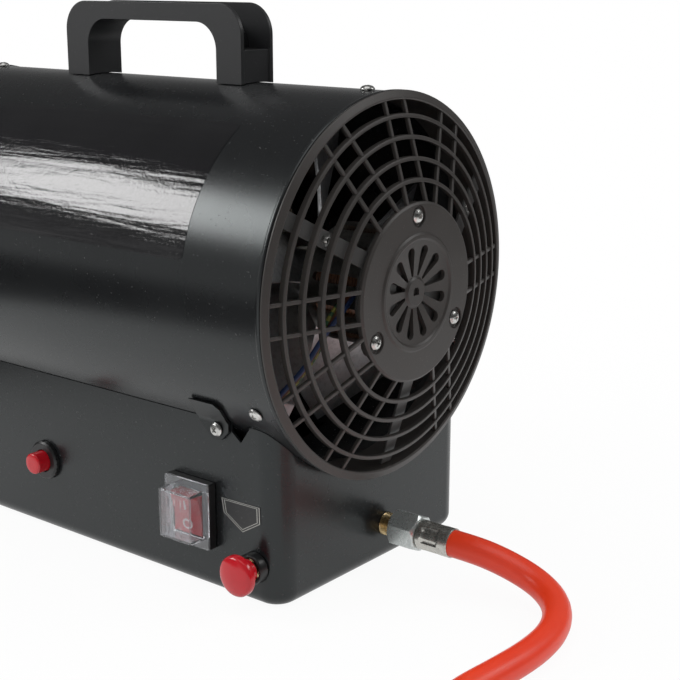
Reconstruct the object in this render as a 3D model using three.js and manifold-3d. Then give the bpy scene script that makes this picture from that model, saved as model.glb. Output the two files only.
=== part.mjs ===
// A gas-fired forced-air space heater, built as an assembly of separate pieces.
// Millimetres, +Z up. The drum lies along X, its air-intake grille faces +X and its hot-air
// outlet faces -X. The controls are on the -Y side. The origin is the middle of the base's underside.
import * as THREE from "three";
import { mergeVertices } from "three/addons/utils/BufferGeometryUtils.js";
import Module from "manifold-3d";

const wasm = await Module();
wasm.setup();

// ---------------------------------------------------------------- driving dimensions

// Clearances
const GAP = 0.3; // between pieces that touch
const RUN = 0.1; // around a turning shaft
const SLIDE = 0.4; // around a sliding stem or a rocking paddle
const OVER = 5; // how far a cutting shape reaches past what it cuts

// Base housing
const BASE_LENGTH = 282.4;
const BASE_WIDTH = 162;
const BASE_WALL = 1.5;
const BASE_CORNER = 14; // upright edges
const BASE_EDGE = 8; // edges around the underside
const BASE_TOP_OVER = 0.6; // how far the side walls reach up past the line where they meet the drum

// Drum
const DRUM_LIFT = 57.5; // its lowest line above the floor
const DRUM_RADIUS = 102;
const DRUM_WALL = 1.2;
const DRUM_OVERHANG = 8.4; // past the base's rear panel
const DRUM_LENGTH = 329;
const BEAD_HEIGHT = 1;
const BEAD_LENGTH = 3.2;
const SERVICE_HOLE_LENGTH = 60;
const SERVICE_HOLE_WIDTH = 60;

// Rear grille
const SKIRT_WALL = 2.4;
const RIM_THICK = 1.1;
const RIM_RISE = 1.4;
const SKIRT_LENGTH = 24;
const DOME_SLOPE = 0.3;
const RING_COUNT = 4;
const RIM_TO_RING = 7.9; // from the rim's inner edge to the middle of the first ring
const RING_WIDTH = 2.2;
const RING_DEPTH = 3;
const BAR_WIDTH = 2.2;
const BAR_DEPTH = 2;
const BAR_SINK = 0.9; // bars lie this far behind the rings' front
const BAR_PAIR = 16.2; // between the two bars of a pair
const BAR_ANGLES = [0, 60, 90, 120, 180, 210, 240, 300];
const HUB_RADIUS = 47.4;
const HUB_WALL = 2.6;
const HUB_RIDGE_RADIUS = 29.5;
const HUB_RIDGE_WIDTH = 4;
const HUB_RIDGE_HEIGHT = 0.9;
const HUB_DISH = 2.2;
const VENT_COUNT = 12;
const VENT_INNER = 9;
const VENT_OUTER = 25;
const VENT_WIDTH = 6;
const HUB_SCREW_CIRCLE = 40;
const POCKET_RADIUS = 5.6;
const POCKET_DEPTH = 1.8;
const BOSS_RADIUS = 7.6;
const BOSS_DEPTH = 2;

// Screws
const SCREW_RADIUS = 2;
const SCREW_HEAD_RADIUS = 3.9;
const SCREW_HEAD_HEIGHT = 2.3;
const SCREW_LENGTH = 9;
const DRUM_SCREW_INSET = 16; // from the drum's end
const SCREW_ANGLES = [90, 210, 330];

// Fan motor and fan
const PLATE_RADIUS = 45;
const PLATE_THICK = 1.5;
const PLATE_VENT = 13;
const STRAP_WIDTH = 9;
const STRAP_ANGLES = [30, 150, 270];
const MOTOR_RADIUS = 32;
const MOTOR_LENGTH = 46;
const MOTOR_BOSS_RADIUS = 12;
const MOTOR_BOSS_LENGTH = 5;
const SHAFT_RADIUS = 4;
const SHAFT_IN_MOTOR = 30;
const FAN_RADIUS = 92;
const FAN_HUB_RADIUS = 15;
const FAN_HUB_LENGTH = 20;
const FAN_BLADES = 5;
const FAN_BLADE_THICK = 1.8;
const FAN_CHORD = 26; // blade width at its root
const FAN_CHORD_GROWTH = 34;
const FAN_PITCH = 44; // degrees at the root
const FAN_TWIST = 22; // degrees lost towards the tip
const FAN_SWEEP = 10; // degrees
const FAN_CLEAR = 5; // between the motor boss and the fan hub
const FAN_NUT_RADIUS = 7;
const FAN_NUT_LENGTH = 5;

// Combustion tube, burner and outlet
const LINER_RADIUS = 75;
const LINER_WALL = 1.2;
const LINER_LENGTH = 190;
const LINER_SIDES = 36;
const OUTLET_INSET = 7; // outlet ring behind the drum's front edge
const OUTLET_FLANGE = 14;
const OUTLET_THICK = 1.5;
const OUTLET_HOLES = 12;
const OUTLET_HOLE_RADIUS = 5;
const BURNER_RADIUS = 34;
const BURNER_LENGTH = 42;
const BURNER_WALL = 1.6;
const BURNER_DISC = 62;
const BURNER_DISC_HOLES = 10;
const BURNER_DISC_HOLE_RADIUS = 4.5;
const BURNER_ARM_WIDTH = 12;
const ELECTRODE_RADIUS = 3.2;
const PROBE_RADIUS = 1.6;
const SENSOR_OFFSET = 47; // electrode and probe from the burner's axis

// Handle
const HANDLE_LENGTH = 142;
const HANDLE_MIDDLE = -13.5; // over the middle of the drum
const HANDLE_WIDTH = 26;
const HANDLE_RISE = 42.5; // above the drum
const HANDLE_GRIP = 10.2;
const HANDLE_LEG = 18.9;
const HANDLE_SIDE = 2.6;
const HANDLE_WEB = 3;
const HANDLE_OUTER_BEND = 17;
const HANDLE_INNER_BEND = 15;
const HANDLE_FILL_RISE = 18; // top of the filled feet above the drum
const HANDLE_FILL_SINK = 1;
const HANDLE_SCREW_DEPTH = 12;

// Lugs that tie the base to the drum
const LUG_INSET = 42.6; // from the base's end to the lug's middle
const LUG_WIDTH = 20.6;
const LUG_SHEET = 1.5;
const LUG_DROP = 10.3; // below the line where drum and side wall meet
const LUG_CLIMB = 11.1; // above it
const LUG_CORNER = 8.5;
const LUG_SCREW_INSET = 40.2;
const LUG_SCREW_DROP = 4.9;
const LUG_SCREW_REACH = 4.4; // length of its thread
const NOTCH_WIDTH = 13.5;
const NOTCH_DEPTH = 10.5;

// Rocker switch and its splash cover
const SWITCH_INSET = 59.7; // from the base's rear end
const SWITCH_Z = 43.6;
const BEZEL_WIDTH = 31.4;
const BEZEL_HEIGHT = 36.6;
const BEZEL_PROUD = 5.2;
const SWITCH_BODY_WIDTH = 25.6;
const SWITCH_BODY_HEIGHT = 29.6;
const SWITCH_BODY_DEPTH = 22;
const PADDLE_WIDTH = 19.4;
const PADDLE_HEIGHT = 22;
const PADDLE_REACH = 9.5; // from its pivot to its front
const PADDLE_BACK = 3; // from its pivot to its back
const PADDLE_TILT = 8; // degrees at rest
const PIVOT_DEPTH = 2.2; // pivot behind the side wall's face
const PIVOT_RADIUS = 1.5;
const COVER_WALL = 1.2;
const COVER_WIDTH = 23.6;
const COVER_HEIGHT = 27.6;
const COVER_REACH = 9;
const COVER_FLANGE = 1;

// Gas valve with its push button
const VALVE_INSET = 16.2; // from the base's rear end
const VALVE_Z = 22;
const BUTTON_RADIUS = 11;
const BUTTON_HEAD = 6.5;
const BUTTON_NECK_RADIUS = 6.3;
const BUTTON_PROUD = 18.5;
const BUTTON_TRAVEL = 4;
const VALVE_NUT_RADIUS = 8.6;
const VALVE_NUT_LENGTH = 5;
const VALVE_STEM_RADIUS = 2.5;
const VALVE_RADIUS = 10;
const VALVE_LENGTH = 34;
const VALVE_SHOULDER = 3.2; // wall to shoulder, clear of the upright edge's curve
const VALVE_NOSE_RADIUS = 7.2;

// Igniter with its push button
const IGNITER_X = -40;
const IGNITER_Z = 44;
const IGNITER_RADIUS = 8.6;
const IGNITER_FLANGE_RADIUS = 11.5;
const IGNITER_FLANGE = 3;
const IGNITER_DEPTH = 30;
const IGNITER_BUTTON_RADIUS = 6.2;
const IGNITER_BUTTON_PROUD = 8;
const IGNITER_TRAVEL = 5;

// Cable gland on the far side
const GLAND_X = 60;
const GLAND_Z = 40;
const GLAND_RADIUS = 9.5;
const GLAND_LENGTH = 14;
const GLAND_NECK_RADIUS = 7.2;
const GLAND_BORE = 3.6;

// Gas inlet, hose and their fittings
const INLET_Y = 9;
const INLET_Z = 21.9;
const INLET_RADIUS = 6.4;
const INLET_PROUD = 7;
const INLET_BLOCK = 16;
const INLET_BORE = 3;
const FEED_PIPE_RADIUS = 3;
const NUT_FLATS = 19;
const NUT_LENGTH = 17.5;
const FERRULE_RADIUS = 8.2;
const FERRULE_LENGTH = 16;
const HOSE_RADIUS = 7.5;
const HOSE_SIDES = 8;
const HOSE_STEPS = 24;
const HOSE_ROUTE = [
  [197.9, 9, 21.9],
  [209, 10, 20.8],
  [221, 11.8, 17.8],
  [233, 12.5, 14.3],
  [244, 9.5, 11.8],
  [253, 3.8, 9.8],
  [260.5, -5, 8.5],
  [266.5, -17.5, 7.8],
  [270, -31.5, 7.6],
  [271.3, -46, 7.6],
  [271, -62, 7.6],
  [269, -83, 7.6],
  [267.5, -96, 7.6],
  [267.6, -110.1, 7.6],
  [271.6, -125.7, 7.6],
  [279.1, -139.9, 7.6],
  [289.9, -151.8, 7.7],
  [303.3, -160.8, 7.9],
  [318.4, -166.3, 8.1],
  [336, -167.9, 8.4],
  [360, -167.9, 8.8],
  [384, -167.9, 9.2],
  [406, -167.9, 9.4],
];
const COIL_SIDES = 6;
const COIL_STEPS = 24; // steps in each turn
const COIL_START = 0.75; // turns round from +X, where the hose runs in along +X
const COIL_TURNS = 2;
const COIL_REVERSES = 1.5; // turns, where the coil stops closing in, climbs and opens again
const COIL_OUTER = 88; // radius of the hose's middle line where the coil starts
const COIL_SIDEWAYS = 15.8; // how far a turn closes in
const COIL_RISE = 17.4;
const COIL_LIFT = 1.9; // room for the ties below the coil
const COIL_CENTRE = [442, -79.9];
const TIE_WIDTH = 12;
const TIE_THICK = 1;
const TIE_GAP = 0.8;
const TIE_STEPS = [6, 21]; // where the ties stand, in steps from the coil's start

// Burner pipe, with square turns rounded by its bend
const PIPE_RADIUS = 3;
const PIPE_X = 50;
const PIPE_Y = -62;
const PIPE_CLIMB = 28; // from the valve to where it turns up into the drum
const PIPE_BEND = 18;

// ---------------------------------------------------------------- derived places

const BASE_HALF = BASE_LENGTH / 2;
const SIDE_Y = BASE_WIDTH / 2;
const AXIS_Z = DRUM_LIFT + DRUM_RADIUS;
const DRUM_TOP = AXIS_Z + DRUM_RADIUS;
const DRUM_REAR = BASE_HALF + DRUM_OVERHANG;
const DRUM_FRONT = DRUM_REAR - DRUM_LENGTH;
const DRUM_INSIDE = DRUM_RADIUS - DRUM_WALL;
const DRUM_TO_SIDE = AXIS_Z - Math.sqrt(DRUM_RADIUS ** 2 - SIDE_Y ** 2);
const BASE_TOP = DRUM_TO_SIDE + BASE_TOP_OVER;
const RIM_OUTER = DRUM_RADIUS + BEAD_HEIGHT;
const RIM_BACK = DRUM_REAR + GAP;
const RIM_FRONT = RIM_BACK + RIM_THICK;
const SKIRT_OUTER = DRUM_INSIDE - GAP;
const RIM_INNER = SKIRT_OUTER - SKIRT_WALL;
const RING_PITCH = (RIM_INNER - RIM_TO_RING - HUB_RADIUS) / RING_COUNT;
const domeX = (radius) => RIM_FRONT + RIM_RISE + (RIM_INNER - radius) * DOME_SLOPE;
const HUB_FRONT = domeX(HUB_RADIUS);
const PLATE_FRONT = HUB_FRONT - HUB_WALL - BOSS_DEPTH - GAP;
const PLATE_BACK = PLATE_FRONT - PLATE_THICK;
const MOTOR_REAR = PLATE_BACK - GAP;
const MOTOR_FRONT = MOTOR_REAR - MOTOR_LENGTH;
const FAN_HUB_REAR = MOTOR_FRONT - MOTOR_BOSS_LENGTH - FAN_CLEAR;
const FAN_HUB_FRONT = FAN_HUB_REAR - FAN_HUB_LENGTH;
const LINER_FRONT = DRUM_FRONT + OUTLET_INSET + OUTLET_THICK + GAP;
const LINER_REAR = LINER_FRONT + LINER_LENGTH;
const BURNER_REAR = LINER_REAR + 6;
const BURNER_FRONT = BURNER_REAR - BURNER_LENGTH;
const DISC_X = BURNER_REAR - BURNER_LENGTH * 0.7;
const HANDLE_TOP = DRUM_TOP + HANDLE_RISE;
const HANDLE_FILL_TOP = DRUM_TOP + HANDLE_FILL_RISE;
const LUG_X = BASE_HALF - LUG_INSET;
const LUG_LOW = DRUM_TO_SIDE - LUG_DROP;
const LUG_HIGH = DRUM_TO_SIDE + LUG_CLIMB;
const LUG_SCREW_X = BASE_HALF - LUG_SCREW_INSET;
const LUG_SCREW_Z = DRUM_TO_SIDE - LUG_SCREW_DROP;
const SWITCH_X = BASE_HALF - SWITCH_INSET;
const VALVE_X = BASE_HALF - VALVE_INSET;

// ---------------------------------------------------------------- shape helpers

const radians = (degrees) => (degrees * Math.PI) / 180;

// A closed geometry as a solid: shared corners merged, slivers dropped and faces turned outward.
function solid(geometry) {
  const bare = geometry.clone();
  for (const name of Object.keys(bare.attributes)) {
    if (name !== "position") bare.deleteAttribute(name);
  }
  const merged = mergeVertices(bare, 1e-4);
  const place = merged.attributes.position;
  const corner = (i) => new THREE.Vector3().fromBufferAttribute(place, i);
  const index = merged.index.array;
  const kept = [];
  let volume = 0;
  for (let i = 0; i < index.length; i += 3) {
    const [a, b, c] = [index[i], index[i + 1], index[i + 2]];
    if (a === b || b === c || c === a) continue;
    kept.push(a, b, c);
    volume += corner(a).dot(corner(b).cross(corner(c)));
  }
  if (volume < 0) kept.reverse();
  const vertProperties = new Float32Array(place.array);
  const triVerts = new Uint32Array(kept);
  return new wasm.Manifold(new wasm.Mesh({ numProp: 3, vertProperties, triVerts }));
}

function surface(body) {
  const mesh = body.getMesh();
  const geometry = new THREE.BufferGeometry();
  geometry.setAttribute("position", new THREE.BufferAttribute(new Float32Array(mesh.vertProperties), 3));
  geometry.setIndex(new THREE.BufferAttribute(new Uint32Array(mesh.triVerts), 1));
  return geometry;
}

const join = (bodies) => bodies.reduce((sum, body) => sum.add(body));
const cut = (body, tools) => tools.reduce((rest, tool) => rest.subtract(tool), body);

// A box from its low and high corners.
function box(low, high) {
  const size = high.map((value, i) => value - low[i]);
  const geometry = new THREE.BoxGeometry(...size);
  geometry.translate(...low.map((value, i) => value + size[i] / 2));
  return solid(geometry);
}

// A turned piece along a line from a point. The profile is a closed list of [distance along, radius].
function turned(from, direction, profile, segments = 16) {
  const points = profile.map(([along, radius]) => new THREE.Vector2(radius, along));
  const geometry = new THREE.LatheGeometry([...points, points[0]], segments);
  const up = new THREE.Vector3(0, 1, 0);
  const towards = new THREE.Vector3(...direction).normalize();
  geometry.applyQuaternion(new THREE.Quaternion().setFromUnitVectors(up, towards));
  geometry.translate(...from);
  return solid(geometry);
}

// A piece turned about the drum's axis. The profile is a closed list of [x, radius].
const aboutDrum = (profile, segments = 48) => turned([0, 0, AXIS_Z], [1, 0, 0], profile, segments);

// A round bar from one point to another.
function bar(from, to, radius, segments = 16) {
  const along = to.map((value, i) => value - from[i]);
  const length = Math.hypot(...along);
  const ends = [[0, 0], [0, radius], [length, radius], [length, 0]];
  return turned(from, along, ends, segments);
}

const prism = (shape, depth, curveSegments) =>
  new THREE.ExtrudeGeometry(shape, { depth, bevelEnabled: false, curveSegments });

// An outline in the XZ plane, thickened from y = low to y = high.
function slabXZ(shape, low, high, curveSegments = 6) {
  const geometry = prism(shape, high - low, curveSegments);
  geometry.rotateX(Math.PI / 2);
  geometry.translate(0, high, 0);
  return solid(geometry);
}

// An outline in the YZ plane, thickened from x = low to x = high.
function slabYZ(shape, low, high, curveSegments = 6) {
  const geometry = prism(shape, high - low, curveSegments);
  const turn = new THREE.Matrix4().makeBasis(
    new THREE.Vector3(0, 1, 0),
    new THREE.Vector3(0, 0, 1),
    new THREE.Vector3(1, 0, 0),
  );
  geometry.applyMatrix4(turn);
  geometry.translate(low, 0, 0);
  return solid(geometry);
}

const outline = (points) => new THREE.Shape(points.map(([a, b]) => new THREE.Vector2(a, b)));

// A rectangle with round corners about (a, b).
function roundedOutline(a, b, width, height, radius) {
  const shape = new THREE.Shape();
  const right = a + width / 2 - radius;
  const left = a - width / 2 + radius;
  const high = b + height / 2 - radius;
  const low = b - height / 2 + radius;
  const quarter = Math.PI / 2;
  shape.absarc(right, low, radius, -quarter, 0, false);
  shape.absarc(right, high, radius, 0, quarter, false);
  shape.absarc(left, high, radius, quarter, 2 * quarter, false);
  shape.absarc(left, low, radius, 2 * quarter, 3 * quarter, false);
  return shape;
}

// A tube of `sides` flats along a curve, as one unbroken piece with square ends.
function tubeAlong(curve, radius, sides, steps) {
  const ring = new THREE.Shape();
  for (let i = 0; i < sides; i += 1) {
    const angle = (2 * Math.PI * i) / sides;
    const point = [radius * Math.cos(angle), radius * Math.sin(angle)];
    if (i === 0) ring.moveTo(...point);
    else ring.lineTo(...point);
  }
  ring.closePath();
  return solid(new THREE.ExtrudeGeometry(ring, { steps, extrudePath: curve, bevelEnabled: false }));
}

const smooth = (points) =>
  new THREE.CatmullRomCurve3(points.map((point) => new THREE.Vector3(...point)), false, "centripetal");

const group = new THREE.Group();

function add(name, body, colour, roughness, metalness, looks = {}) {
  const material = new THREE.MeshStandardMaterial({ color: colour, roughness, metalness, ...looks });
  const mesh = new THREE.Mesh(surface(body), material);
  mesh.name = name;
  group.add(mesh);
}

const PAINT = [0x1d1f21, 0.42, 0.3];
const PLASTIC = [0x26262a, 0.5, 0];
const DARK_PLASTIC = [0x141416, 0.5, 0];
const RED = [0xc01820, 0.35, 0];
const STEEL = [0xb8bcc0, 0.35, 1];
const BRASS = [0xc9a24a, 0.35, 1];
const RUBBER = [0xd8452a, 0.5, 0];
const SHEET = [0x9aa0a4, 0.45, 1];

// ---------------------------------------------------------------- screws

// A pan-head screw seated at a point, its head standing out along `out`.
function screw(seat, out, length = SCREW_LENGTH) {
  const profile = [
    [-length, 0],
    [-length, SCREW_RADIUS],
    [0, SCREW_RADIUS],
    [0, SCREW_HEAD_RADIUS],
    [SCREW_HEAD_HEIGHT * 0.5, SCREW_HEAD_RADIUS],
    [SCREW_HEAD_HEIGHT, SCREW_HEAD_RADIUS * 0.5],
    [SCREW_HEAD_HEIGHT, 0],
  ];
  return turned(seat, out, profile, 10);
}

const screwHole = (from, out, reach = 3 * SCREW_LENGTH) =>
  bar(from.map((v, i) => v - out[i] * reach), from.map((v, i) => v + out[i] * reach), SCREW_RADIUS + GAP, 12);

// The point on the drum, or on a circle about its axis, at an angle from +Y towards +Z.
function around(x, radius, degrees) {
  const angle = radians(degrees);
  return [x, radius * Math.cos(angle), AXIS_Z + radius * Math.sin(angle)];
}

const outwardAt = (degrees) => [0, Math.cos(radians(degrees)), Math.sin(radians(degrees))];

const rearScrewX = DRUM_REAR - DRUM_SCREW_INSET;
const frontScrewX = DRUM_FRONT + DRUM_SCREW_INSET;
const drumScrewHoles = [rearScrewX, frontScrewX].flatMap((x) =>
  SCREW_ANGLES.map((degrees) => screwHole(around(x, DRUM_RADIUS, degrees), outwardAt(degrees), SCREW_LENGTH)),
);

// ---------------------------------------------------------------- drum

const handleScrewXs = [-1, 1].map((side) => HANDLE_MIDDLE + (side * (HANDLE_LENGTH - HANDLE_LEG)) / 2);
const handleScrewHoles = handleScrewXs.map((x) => screwHole(around(x, DRUM_RADIUS, 90), [0, 0, 1], HANDLE_SCREW_DEPTH));

function drumShell() {
  const bead = [
    [DRUM_REAR - BEAD_LENGTH, DRUM_RADIUS],
    [DRUM_REAR - BEAD_LENGTH * 0.7, DRUM_RADIUS + BEAD_HEIGHT],
    [DRUM_REAR, DRUM_RADIUS + BEAD_HEIGHT],
  ];
  const frontBead = [
    [DRUM_FRONT, DRUM_RADIUS + BEAD_HEIGHT],
    [DRUM_FRONT + BEAD_LENGTH * 0.7, DRUM_RADIUS + BEAD_HEIGHT],
    [DRUM_FRONT + BEAD_LENGTH, DRUM_RADIUS],
  ];
  const profile = [...frontBead, ...bead, [DRUM_REAR, DRUM_INSIDE], [DRUM_FRONT, DRUM_INSIDE]];
  const half = SERVICE_HOLE_LENGTH / 2;
  const serviceHole = box(
    [PIPE_X - half, -SERVICE_HOLE_WIDTH / 2, AXIS_Z - DRUM_RADIUS - OVER],
    [PIPE_X + half, SERVICE_HOLE_WIDTH / 2, AXIS_Z - DRUM_RADIUS / 2],
  );
  return cut(aboutDrum(profile, 60), [serviceHole, ...drumScrewHoles, ...handleScrewHoles]);
}

// ---------------------------------------------------------------- rear grille

// A straight bar in a radial plane, moved sideways, whose front follows front(radius).
function radialBar(degrees, sideways, width, inner, outer, front, depth) {
  const at = (radius) => Math.sqrt(radius ** 2 - sideways ** 2);
  const shape = outline([
    [at(inner), front(inner)],
    [at(outer), front(outer)],
    [at(outer), front(outer) - depth],
    [at(inner), front(inner) - depth],
  ]);
  const geometry = prism(shape, width, 1);
  geometry.translate(0, 0, sideways - width / 2);
  const angle = radians(degrees);
  const radial = new THREE.Vector3(0, Math.cos(angle), Math.sin(angle));
  const across = new THREE.Vector3(0, -Math.sin(angle), Math.cos(angle));
  geometry.applyMatrix4(new THREE.Matrix4().makeBasis(radial, new THREE.Vector3(1, 0, 0), across));
  geometry.translate(0, 0, AXIS_Z);
  return solid(geometry);
}

function grilleHub() {
  const front = HUB_FRONT;
  const sunk = front - HUB_DISH;
  const ridgeOut = HUB_RIDGE_RADIUS + HUB_RIDGE_WIDTH / 2;
  const ridgeIn = HUB_RIDGE_RADIUS - HUB_RIDGE_WIDTH / 2;
  const profile = [
    [front - HUB_WALL, HUB_RADIUS],
    [front - 0.6, HUB_RADIUS],
    [front, HUB_RADIUS - 0.8],
    [front, ridgeOut],
    [front + HUB_RIDGE_HEIGHT, ridgeOut - 1],
    [front + HUB_RIDGE_HEIGHT, ridgeIn + 1],
    [front, ridgeIn],
    [sunk, VENT_INNER - 2],
    [sunk + 1, VENT_INNER - 3],
    [sunk + 1, 0],
    [sunk - HUB_WALL, 0],
    [sunk - HUB_WALL, VENT_INNER - 2],
    [front - HUB_WALL, ridgeIn],
  ];
  const bosses = SCREW_ANGLES.map((degrees) =>
    bar(
      around(front - HUB_WALL - BOSS_DEPTH, HUB_SCREW_CIRCLE, degrees),
      around(front - HUB_WALL + 0.5, HUB_SCREW_CIRCLE, degrees),
      BOSS_RADIUS,
    ).intersect(bar(around(front - 4 * OVER, 0, 0), around(front + OVER, 0, 0), HUB_RADIUS, 40)),
  );
  const pockets = SCREW_ANGLES.flatMap((degrees) => [
    bar(
      around(front - POCKET_DEPTH, HUB_SCREW_CIRCLE, degrees),
      around(front + 2, HUB_SCREW_CIRCLE, degrees),
      POCKET_RADIUS,
    ),
    screwHole(around(front, HUB_SCREW_CIRCLE, degrees), [1, 0, 0]),
  ]);
  const half = VENT_WIDTH / 2;
  const vent = [
    [VENT_INNER, -0.6],
    [VENT_OUTER - half, -half],
    [VENT_OUTER - half * 0.3, -half * 0.7],
    [VENT_OUTER, 0],
    [VENT_OUTER - half * 0.3, half * 0.7],
    [VENT_OUTER - half, half],
    [VENT_INNER, 0.6],
  ];
  const vents = [];
  for (let i = 0; i < VENT_COUNT; i += 1) {
    const angle = (2 * Math.PI * (i + 0.5)) / VENT_COUNT;
    const turnedVent = vent.map(([r, t]) => [
      r * Math.cos(angle) - t * Math.sin(angle),
      AXIS_Z + r * Math.sin(angle) + t * Math.cos(angle),
    ]);
    vents.push(slabYZ(outline(turnedVent), front - 3 * OVER, front + OVER));
  }
  return cut(join([aboutDrum(profile, 40), ...bosses]), [...pockets, ...vents]);
}

function rearGrille() {
  const rim = [
    [RIM_BACK, RIM_OUTER],
    [RIM_FRONT, RIM_OUTER],
    [RIM_FRONT + RIM_RISE, RIM_INNER + 1],
    [RIM_FRONT + RIM_RISE - 0.4, RIM_INNER],
    [DRUM_REAR - SKIRT_LENGTH, RIM_INNER],
    [DRUM_REAR - SKIRT_LENGTH, SKIRT_OUTER],
    [RIM_BACK, SKIRT_OUTER],
  ];
  const rings = [];
  for (let i = 0; i < RING_COUNT; i += 1) {
    const middle = RIM_INNER - RIM_TO_RING - i * RING_PITCH;
    const outer = middle + RING_WIDTH / 2;
    const inner = middle - RING_WIDTH / 2;
    rings.push(
      aboutDrum([
        [domeX(outer) - RING_DEPTH, outer],
        [domeX(outer), outer],
        [domeX(inner), inner],
        [domeX(inner) - RING_DEPTH, inner],
      ], 36),
    );
  }
  const barFront = (radius) => domeX(radius) - BAR_SINK;
  const bars = BAR_ANGLES.flatMap((degrees) =>
    [-1, 1].map((side) =>
      radialBar(degrees, (side * BAR_PAIR) / 2, BAR_WIDTH, HUB_RADIUS - 1.2, RIM_INNER + 0.6, barFront, BAR_DEPTH),
    ),
  );
  const whole = join([aboutDrum(rim, 60), ...rings, ...bars, grilleHub()]);
  return cut(whole, drumScrewHoles);
}

// ---------------------------------------------------------------- motor and fan

function motorBracket() {
  const plate = aboutDrum([
    [PLATE_BACK, PLATE_VENT],
    [PLATE_BACK, PLATE_RADIUS],
    [PLATE_FRONT, PLATE_RADIUS],
    [PLATE_FRONT, PLATE_VENT],
  ], 28);
  const front = (radius) => domeX(radius) - (HUB_FRONT - PLATE_FRONT);
  const straps = STRAP_ANGLES.map((degrees) =>
    radialBar(degrees, 0, STRAP_WIDTH, PLATE_RADIUS - 1, RIM_INNER - 2 * GAP, front, PLATE_THICK),
  );
  const holes = SCREW_ANGLES.map((degrees) =>
    screwHole(around(PLATE_FRONT, HUB_SCREW_CIRCLE, degrees), [1, 0, 0]),
  );
  return cut(join([plate, ...straps]), holes);
}

function fanMotor() {
  const bore = SHAFT_RADIUS + RUN;
  const profile = [
    [MOTOR_REAR - 4, MOTOR_RADIUS],
    [MOTOR_REAR, MOTOR_RADIUS - 5],
    [MOTOR_REAR, 0],
    [MOTOR_FRONT + SHAFT_IN_MOTOR, 0],
    [MOTOR_FRONT + SHAFT_IN_MOTOR, bore],
    [MOTOR_FRONT - MOTOR_BOSS_LENGTH, bore],
    [MOTOR_FRONT - MOTOR_BOSS_LENGTH, MOTOR_BOSS_RADIUS],
    [MOTOR_FRONT, MOTOR_BOSS_RADIUS],
    [MOTOR_FRONT, MOTOR_RADIUS - 4],
    [MOTOR_FRONT + 4, MOTOR_RADIUS],
  ];
  return aboutDrum(profile, 28);
}

function fanBlade(degrees) {
  const stations = 5;
  const inner = FAN_HUB_RADIUS - 2;
  const middle = (FAN_HUB_REAR + FAN_HUB_FRONT) / 2;
  const positions = [];
  for (let i = 0; i < stations; i += 1) {
    const share = i / (stations - 1);
    const radius = inner + (FAN_RADIUS - inner) * share;
    const chord = FAN_CHORD + FAN_CHORD_GROWTH * Math.sin((share * Math.PI) / 1.7);
    const pitch = radians(FAN_PITCH - FAN_TWIST * share);
    const sweep = radians(degrees + FAN_SWEEP * share);
    const half = chord / 2;
    const thick = FAN_BLADE_THICK / 2;
    for (const [along, out] of [[-half, -thick], [half, -thick], [half, thick], [-half, thick]]) {
      const across = along * Math.cos(pitch) - out * Math.sin(pitch);
      const axial = along * Math.sin(pitch) + out * Math.cos(pitch);
      const angle = sweep + across / Math.max(radius, chord / 2);
      positions.push(middle + axial, radius * Math.cos(angle), AXIS_Z + radius * Math.sin(angle));
    }
  }
  const index = [0, 1, 2, 0, 2, 3];
  for (let i = 0; i + 1 < stations; i += 1) {
    for (let k = 0; k < 4; k += 1) {
      const [a, b] = [4 * i + k, 4 * i + ((k + 1) % 4)];
      index.push(a, a + 4, b + 4, a, b + 4, b);
    }
  }
  const last = 4 * (stations - 1);
  index.push(last, last + 2, last + 1, last, last + 3, last + 2);
  const geometry = new THREE.BufferGeometry();
  geometry.setAttribute("position", new THREE.Float32BufferAttribute(positions, 3));
  geometry.setIndex(index);
  return solid(geometry);
}

function fan() {
  const bore = SHAFT_RADIUS + GAP;
  const hub = aboutDrum([
    [FAN_HUB_FRONT, bore],
    [FAN_HUB_FRONT, FAN_HUB_RADIUS - 2],
    [FAN_HUB_FRONT + 2, FAN_HUB_RADIUS],
    [FAN_HUB_REAR, FAN_HUB_RADIUS],
    [FAN_HUB_REAR, bore],
  ], 24);
  const core = aboutDrum([
    [FAN_HUB_FRONT - FAN_CHORD, 0],
    [FAN_HUB_FRONT - FAN_CHORD, FAN_HUB_RADIUS - 1],
    [FAN_HUB_REAR + FAN_CHORD, FAN_HUB_RADIUS - 1],
    [FAN_HUB_REAR + FAN_CHORD, 0],
  ], 24);
  const blades = [];
  for (let i = 0; i < FAN_BLADES; i += 1) {
    blades.push(fanBlade((360 * i) / FAN_BLADES).subtract(core));
  }
  return join([hub, ...blades]);
}

const shaftFront = FAN_HUB_FRONT - FAN_NUT_LENGTH - 2 * GAP - 1;

function fanShaft() {
  return bar([shaftFront, 0, AXIS_Z], [MOTOR_FRONT + SHAFT_IN_MOTOR - 1, 0, AXIS_Z], SHAFT_RADIUS, 24);
}

function fanNut() {
  const bore = SHAFT_RADIUS + GAP;
  const rear = FAN_HUB_FRONT - GAP;
  const front = rear - FAN_NUT_LENGTH;
  const hex = aboutDrum([[front, 0], [front, FAN_NUT_RADIUS], [rear, FAN_NUT_RADIUS], [rear, 0]], 6);
  return hex.subtract(bar([front - 1, 0, AXIS_Z], [rear + 1, 0, AXIS_Z], bore, 24));
}

// ---------------------------------------------------------------- combustion tube, outlet, burner

function liner() {
  const inside = LINER_RADIUS - LINER_WALL;
  return aboutDrum([
    [LINER_FRONT, inside],
    [LINER_FRONT, LINER_RADIUS],
    [LINER_REAR, LINER_RADIUS],
    [LINER_REAR, inside],
  ], LINER_SIDES);
}

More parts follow.
